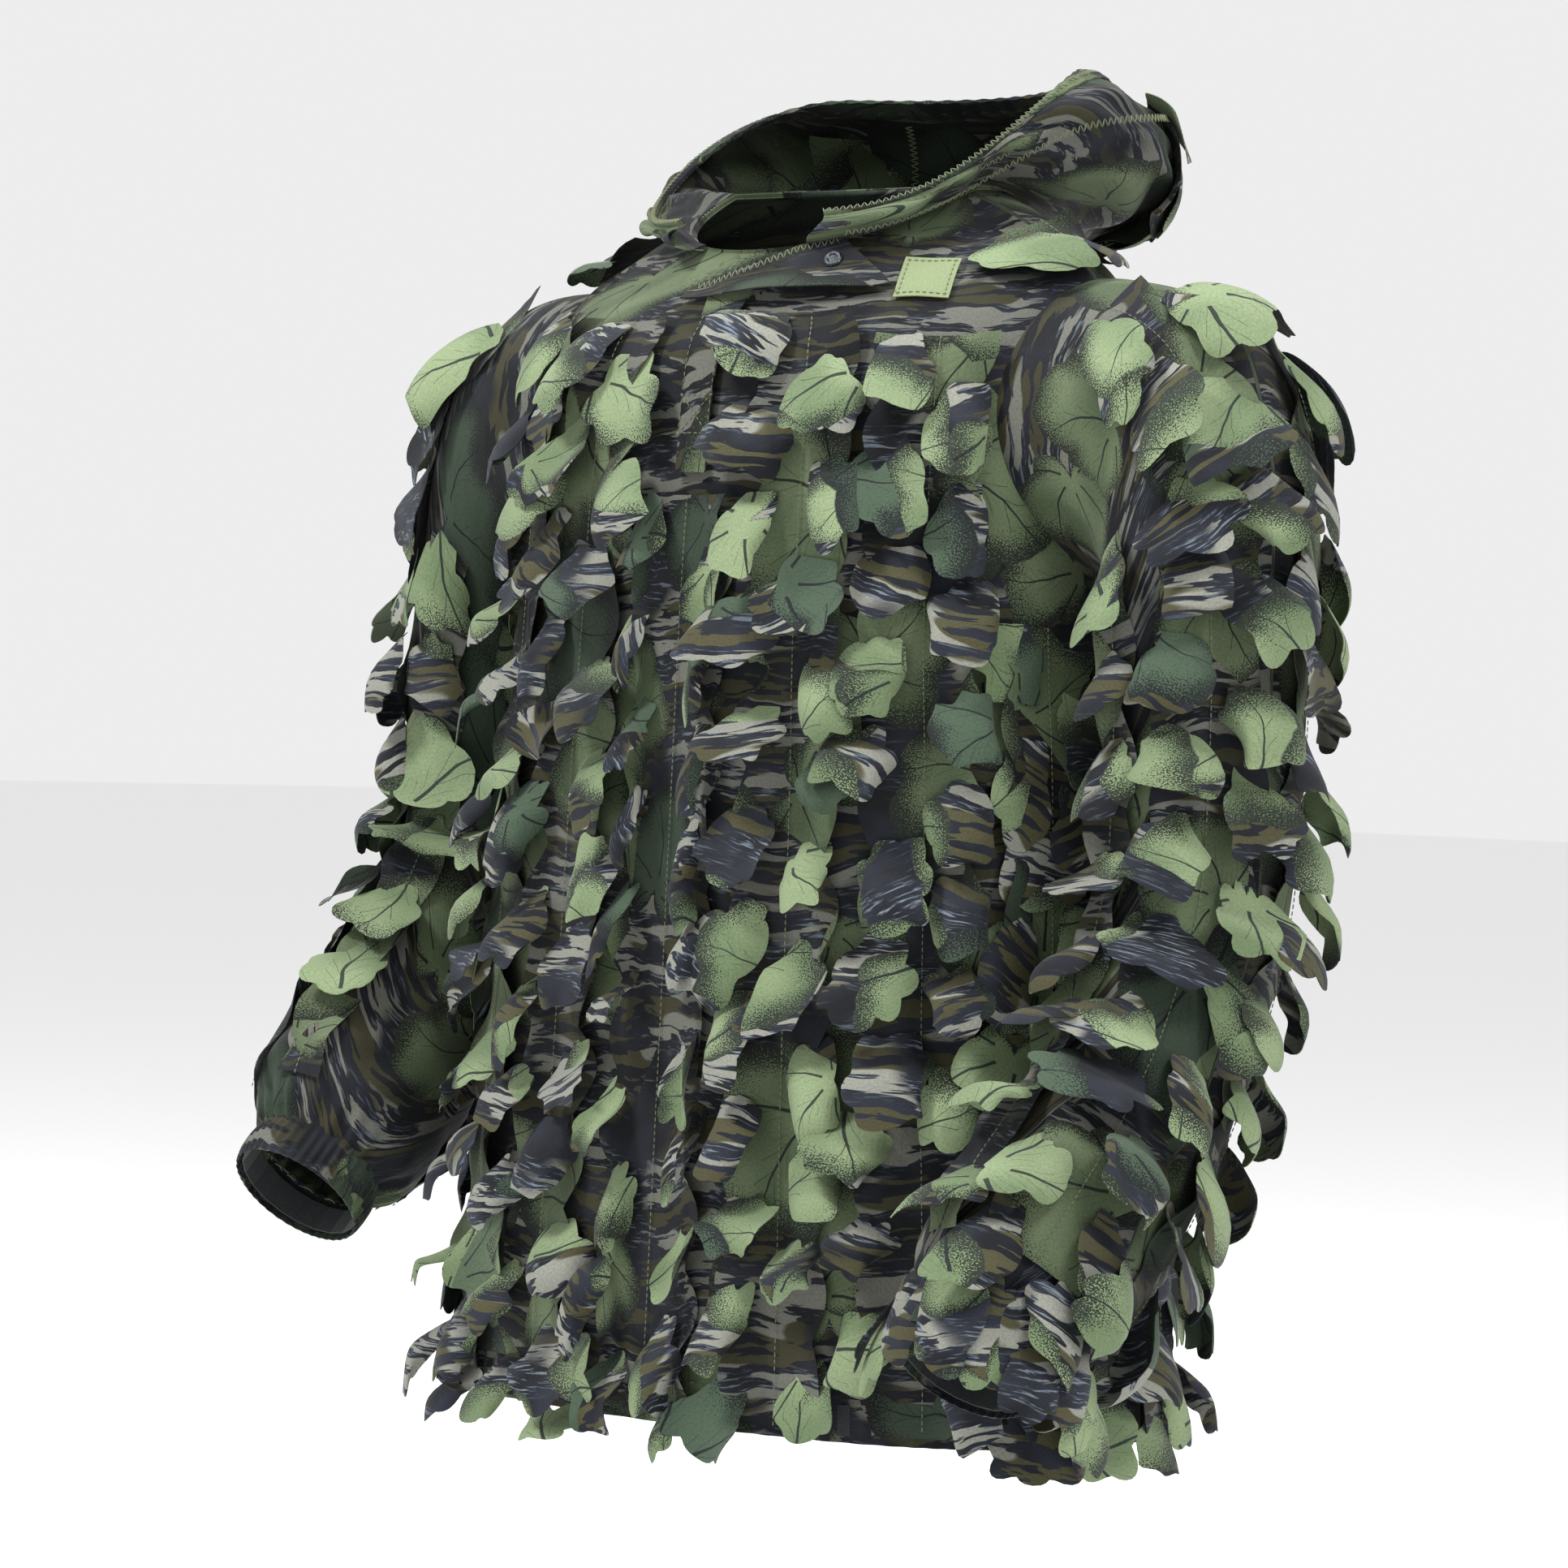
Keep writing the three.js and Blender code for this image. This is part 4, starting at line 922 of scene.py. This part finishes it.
strip_seams = {"torso": [], "left_arm": [], "right_arm": [], "hood": []}
PANEL_THICKNESS = 0.001
TRIM_THICKNESS = 0.0009
TAB_THICKNESS = 0.0012
LABEL_THICKNESS = 0.0008
PLACKET_OVER, PLACKET_UNDER = 0.003, 0.0018


def make_torso():
    cloth = Cloth()
    top = section_at(HEM_Z + HEM_BAND_HEIGHT)
    vs = np.linspace(top, NECK + NECK_SEAM, 112)

    def folds(u, v):
        p = torso_point(u, v)
        lip = NECK_LIP * np.clip((v - NECK) / NECK_SEAM, 0, None)
        return ripples(p, 26, 0.0022) * smoothstep(v, NECK - 0.2, NECK - 1.4) + lip

    u = np.linspace(0, 360, 181)[:-1]
    shell(cloth, torso_skin, u, vs, PANEL_THICKNESS, -0.0012, folds, wrap=True)
    # Outer face in the darkened print and inner face darker still, both painted shade.
    obj = cloth.finish("torso_cloth", painted_shade_cloth, painted_shade_lining)
    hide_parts("torso_front", "torso_back")
    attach(obj, "torso")

    cloth = Cloth()
    vs = np.linspace(section_at(HEM_Z), top, 9)

    def gathers(u, v):
        depth = np.sin(np.radians(u) * 74 + 2 * np.sin(np.radians(u) * 9))
        return 0.0012 * depth - 0.0014

    u = np.linspace(0, 360, 721)[:-1]
    shell(cloth, torso_skin, u, vs, TRIM_THICKNESS, 0, gathers, wrap=True, shift=(0.4, 0.3))
    obj = cloth.finish("hem_cloth", painted_shade_cloth)
    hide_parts("hem_band")
    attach(obj, "torso")


def make_sleeve(word, skin, side):
    cloth = Cloth()
    u = np.linspace(0, 360, 145)[:-1]
    vs = np.linspace(0, SLEEVE_END, 150)

    def folds(u, v):
        p = skin.point(u, v)
        bunch = smoothstep(v, SLEEVE_END - 1.4, SLEEVE_END - 0.1)
        pleats = np.sin(np.radians(u) * 21 + 1.3 * np.sin(np.radians(u) * 4 + v))
        balloon = smoothstep(v, SLEEVE_END - 4.5, SLEEVE_END - 2)
        soft = (ripples(p, 34, 0.0016) + ripples(p, 95, 0.003) * balloon) * (1 - bunch)
        return (pleats * 0.0028 - 0.001) * bunch * smoothstep(v, SLEEVE_END + 0.35, SLEEVE_END - 0.5) + soft

    shell(cloth, skin, u, vs, PANEL_THICKNESS, -0.0006, folds, wrap=True, shift=(1.3 + side, 2.2))
    # Outer face in the darkened print and inner face darker still, both painted shade.
    obj = cloth.finish(f"{word}_sleeve_cloth", painted_shade_cloth, painted_shade_lining)
    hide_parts(f"{word}_sleeve")
    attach(obj, f"{word}_arm")
    make_cuff(word, skin)
    for where, start, end, top, size in (
        ("back_inner", 80, 122, 3.9, 0.044),
        ("back_outer", 2, 78, 1.6, 0.05),
        ("front_outer", -78, -2, 1.6, 0.05),
        ("front_inner", -122, -80, 3.9, 0.044),
    ):
        name = f"{word}_sleeve_strip_{where}"
        rows = (top, SLEEVE_END - 0.9)
        until = 1.0 if word == "left" else 0.74
        tail = 0.045 if word == "left" else 0.0
        make_strip(name, skin, (start, end), rows, f"{word}_arm", 0.057, size, 0.9, tail, until, 0.5)


def make_cuff(word, skin):
    """The gathered tube at the wrist, over its elastic."""
    around = np.linspace(0, 360, 241)[:-1]
    ring = skin.point(around, float(SLEEVE_END))
    centre = ring.mean(0)
    axis = unit(np.cross(ring[0] - centre, ring[60] - centre))
    axis = axis if axis[2] < 0 else -axis
    start = unit(ring[0] - centre)
    side = np.cross(axis, start)
    a = np.radians(around)[None, :]
    h = np.linspace(CUFF_START - CUFF_TUCK, CUFF_START + CUFF_LENGTH, 15)[:, None] * MM
    place = np.clip((h / MM - CUFF_START) / CUFF_LENGTH, 0, 1)
    swell = 1 - np.abs(2 * place - 1) ** 3
    pleats = 0.0009 * (1 + np.sin(42 * a + 1.2 * np.sin(5 * a))) * (0.4 + 0.6 * swell)
    radius = CUFF_RADIUS * MM - 0.0003 + 0.0008 * swell + pleats
    turn = start * np.cos(a)[..., None] + side * np.sin(a)[..., None]
    over = centre + turn * radius[..., None] + axis * h[..., None]
    flat = np.stack(np.broadcast_arrays(a * CUFF_RADIUS * MM * 1.4, h), -1)
    cloth = Cloth()
    cloth.sheet(over, over - turn * TRIM_THICKNESS, flat, wrap=True)
    obj = cloth.finish(f"{word}_cuff_cloth", painted_shade_cloth)
    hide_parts(f"{word}_cuff")
    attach(obj, f"{word}_arm")


def make_hood():
    cloth = Cloth()
    u = np.linspace(HOOD_FROM, HOOD_TO, 200)
    vs = np.linspace(0.0, 1.0, 61)

    def folds(u, v):
        p = hood_point(u, v)
        soft = ripples(p, 42, 0.0036) + ripples(p * [1, 1, 2.4], 88, 0.0032)
        return soft * smoothstep(v, 0, 0.2) * smoothstep(v, 1.02, 0.85)

    shell(cloth, hood_skin, u, vs, TRIM_THICKNESS, -0.0003, folds, shift=(3.3, 0.8))
    # Outer face in the darkened print and the hood's inside darker still, both painted shade.
    obj = cloth.finish("hood_cloth", painted_shade_cloth, painted_shade_lining)
    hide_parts("hood_neck_band", "hood_left_panel", "hood_middle_panel", "hood_right_panel")
    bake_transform(obj)

    cloth = Cloth()
    along, across = 260, 7
    us, vs = np.linspace(HOOD_FROM, HOOD_TO, along), np.linspace(0.965, 1.03, across)
    p, n, _, flat = grid_of(hood_skin, us, vs)
    bulge = 0.0016 * np.sin(np.linspace(0, np.pi, across))[:, None]
    bulge = bulge + 0.0004 * np.sin(np.arange(along) * 1.3)[None, :]
    cloth.sheet(p + n * (0.0006 + bulge)[..., None], p - n * (0.0014 + bulge)[..., None], flat)
    obj = cloth.finish("hood_edge", painted_shade_cloth)
    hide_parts("hood_binding", "neck_binding_left", "neck_binding_right")
    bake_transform(obj)
    hood_stitches()

    for where, start, end, low in (
        ("far_left", 34, 53, 0.42),
        ("left", 54, 77, 0.34),
        ("middle", 78, 102, 0.34),
        ("right", 103, 126, 0.34),
        ("far_right", 127, 146, 0.42),
    ):
        make_strip(f"hood_strip_{where}", hood_skin, (start, end), (0.88, low), "hood", 0.046, 0.046, 0.24)


def make_torso_strips():
    low = section_at(HEM_Z + 2)
    armpit = section_at(-276)
    front = equal_arcs(torso_skin, section_at(-450), -180, 0, 7)
    back = equal_arcs(torso_skin, section_at(-450), 0, 180, 7)
    for where, arcs, k, top in (
        ("front_right_3", front, 0, armpit),
        ("front_right_2", front, 1, section_at(-66)),
        ("front_right_1", front, 2, section_at(-74)),
        ("front_middle", front, 3, section_at(-200)),
        ("front_left_1", front, 4, section_at(-74)),
        ("front_left_2", front, 5, section_at(-96)),
        ("front_left_3", front, 6, armpit),
        ("back_left_3", back, 0, armpit),
        ("back_left_2", back, 1, section_at(-72)),
        ("back_left_1", back, 2, section_at(-84)),
        ("back_middle", back, 3, section_at(-84)),
        ("back_right_1", back, 4, section_at(-84)),
        ("back_right_2", back, 5, section_at(-72)),
        ("back_right_3", back, 6, armpit),
    ):
        is_side = where.endswith("3")
        edges = (arcs[k], arcs[k + 1])
        lively = 0.4 if is_side else 1.05
        name = f"torso_strip_{where}"
        make_strip(name, torso_skin, edges, (top, low), "torso", lively=lively, tail=0.028, calm=0.5)
    for where, phi in (("left_shoulder", 0), ("right_shoulder", 180)):
        edges, rows = (phi - 26, phi + 26), (NECK - 1.7, NECK - 3.1)
        make_strip(f"torso_strip_{where}", torso_skin, edges, rows, "torso", 0.046, 0.046, 0.4, 0.01)


def make_front():
    """The collar tab over the neck slit, and the placket below it with its boxed cross of stitches."""
    cloth = Cloth()
    us = np.linspace(TAB_FROM - 9, TAB_TO + 3, 76)
    u, k = np.meshgrid(us, np.linspace(0, 1, 24))
    rise = lerp(0.22, 1, smoothstep(u, TAB_FROM - 12, TAB_FROM + 26))
    v = TAB_BOTTOM - 0.5 + k * rise * (TAB_TOP - TAB_BOTTOM + 0.6)
    p, n, per_degree = torso_skin.frame(u, v)
    lift = (TAB_STANDOFF + 1.4) * MM + ripples(p, 90, 0.0008)
    lift = lift - 0.003 * smoothstep(u, TAB_FROM + 5, TAB_FROM - 6)
    free = smoothstep(u, TAB_FROM - 4, TAB_FROM + 12)
    lift = lift + 0.004 * (1 - k) ** 2 * free * smoothstep(u, TAB_TO, TAB_TO - 14)
    over = p + n * lift[..., None]
    flat = np.stack([(u + 75) * per_degree + 4.2, k * 0.05 + 1.1], -1)
    cloth.sheet(over, over - n * TAB_THICKNESS, flat)
    obj = cloth.finish("collar_tab_cloth", painted_shade_cloth)
    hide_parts("collar_tab")
    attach(obj, "collar")
    row = lerp(over[-1], over[-2], 1.8) + n[-1] * 0.0004
    stitches("tab_stitches", [(row[4:-4], n[-1, 4:-4])], ZIGZAG, "collar", thread)

    cloth = Cloth()
    vs = np.linspace(section_at(PLACKET_LOW), NECK - 2.6, 40)
    half = np.linspace(-PLACKET_HALF_WIDTH, PLACKET_HALF_WIDTH, 9) * MM
    v, x = np.meshgrid(vs, half, indexing="ij")
    _, _, per_degree = torso_skin.frame(-90, v)
    p, n, _ = torso_skin.frame(-90 + x / per_degree, v)
    down = np.broadcast_to(np.linspace(0.13, 0, 40)[:, None], v.shape)
    flat = np.stack([x + 1.1, down], -1)
    cloth.sheet(p + n * PLACKET_OVER, p + n * PLACKET_UNDER, flat)
    obj = cloth.finish("placket_cloth", painted_shade_cloth)
    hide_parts("front_placket")
    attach(obj, "torso")
    box = [[-12, -22], [12, -22], [12, 2], [-12, 2], [-12, -22]]
    cross = [[12, 2], [12, -22], [-12, 2]]
    corners = np.array(box + cross) * MM
    ends = list(zip(corners, corners[1:]))
    del ends[5]
    low = section_at(PLACKET_LOW + 26)
    lines = [sewn_line(low, a, b) for a, b in ends]
    lines += [sewn_line(low, (x, -0.078), (x, -0.022)) for x in (-0.012, 0.012)]
    stitches("placket_stitches", lines, PLAIN, "torso", thread)


def sewn_line(section, start, end):
    """A line on the placket between two places, in metres from the middle of the front at a section."""
    k = np.linspace(0, 1, 12)
    across, down = (lerp(start[j], end[j], k) for j in (0, 1))
    p, n = patch_on(torso_skin, -90, section, across, down)
    return p + n * STITCH_LIFT, n


def make_label():
    """A blank woven patch, sewn down round its edge."""
    cloth = Cloth()
    steps = np.linspace(-0.5, 0.5, 13)
    across, down = np.meshgrid(steps * LABEL_WIDTH, steps * LABEL_HEIGHT)
    p, n = patch_on(torso_skin, LABEL_PHI, NECK - LABEL_DOWN, across, down)
    lift = 0.0024 + 0.0006 * np.sin(across * 160 + 1) * np.sin(down * 130)
    over = p + n * lift[..., None]
    cloth.sheet(over, over - n * LABEL_THICKNESS, np.stack([across, down], -1))
    obj = cloth.finish("label_patch", label_cloth)
    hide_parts("chest_label")
    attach(obj, "torso")
    inner = (over + n * 0.0003)[1:-1, 1:-1], n[1:-1, 1:-1]
    sides = (np.s_[0, :], np.s_[-1, :], np.s_[:, 0], np.s_[:, -1])
    stitches("label_stitches", [(inner[0][k], inner[1][k]) for k in sides], PLAIN, "torso", thread)


def hood_stitches():
    """Overlocked face edge and the zigzag seams that show on both faces of the hood."""
    u = np.linspace(HOOD_FROM, HOOD_TO, 420)
    t = np.linspace(0.06, 0.95, 60)
    side = np.linspace(56, -56, 90)
    lines = []
    for face in (1, -1):
        lines.append(line_on(hood_skin, u, 0 * u + 0.995, face * 0.0024))
        for phi in HOOD_SEAMS:
            lines.append(line_on(hood_skin, 0 * t + phi, t, face * 0.0042))
        lines.append(line_on(hood_skin, side, lerp(0.86, 0.5, smoothstep(side, 60, -30)), face * 0.0042))
    lines.append(line_on(hood_skin, u, 0 * u + 0.07, 0.002))
    stitches("hood_stitches", lines, ZIGZAG, "hood", thread)


def finish_frame_nodes():
    """Better finishes for the CAD pieces that stay."""
    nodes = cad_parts
    for name, material in (
        ("snap_cap", metal),
        ("snap_socket", metal),
        ("snap_stud", metal),
        ("snap_post", metal),
        ("hanger_loop", edge_cloth),
        ("hem_elastic", elastic),
        ("left_cuff_elastic", elastic),
        ("right_cuff_elastic", elastic),
    ):
        nodes[name].data.materials.clear()
        nodes[name].data.materials.append(material)


make_camera()
make_studio()
# One print at three brightnesses: the leaves at full tone; the cloth under and between them darkened all over
# as painted shade; inside faces darker still as painted shade.
painted_shade_cloth = printed_cloth("printed cloth with painted shade", 0.39)
painted_shade_lining = printed_cloth("inside faces with painted shade", 0.22)
leaf_cloth = printed_cloth("leaf cloth", 0.75)
edge_cloth = plain_cloth("bound edge", "3f4631", "5f6946")
thread = plain_cloth("olive thread", "4d533c", "747c5b", 2500)
stitch_rows = stitch_tree()
label_cloth = plain_cloth("blank label", "6b7855", "808d63", 1800)
elastic = plain_cloth("elastic", "111315", "1d2023")
metal = dark_metal("snap metal")
make_torso()
make_sleeve("left", left_skin, 1)
make_sleeve("right", right_skin, -1)
make_hood()
make_torso_strips()
make_front()
make_label()
for body, lines in strip_seams.items():
    stitches(f"{body}_strip_stitches", lines, PLAIN, body, thread)
finish_frame_nodes()
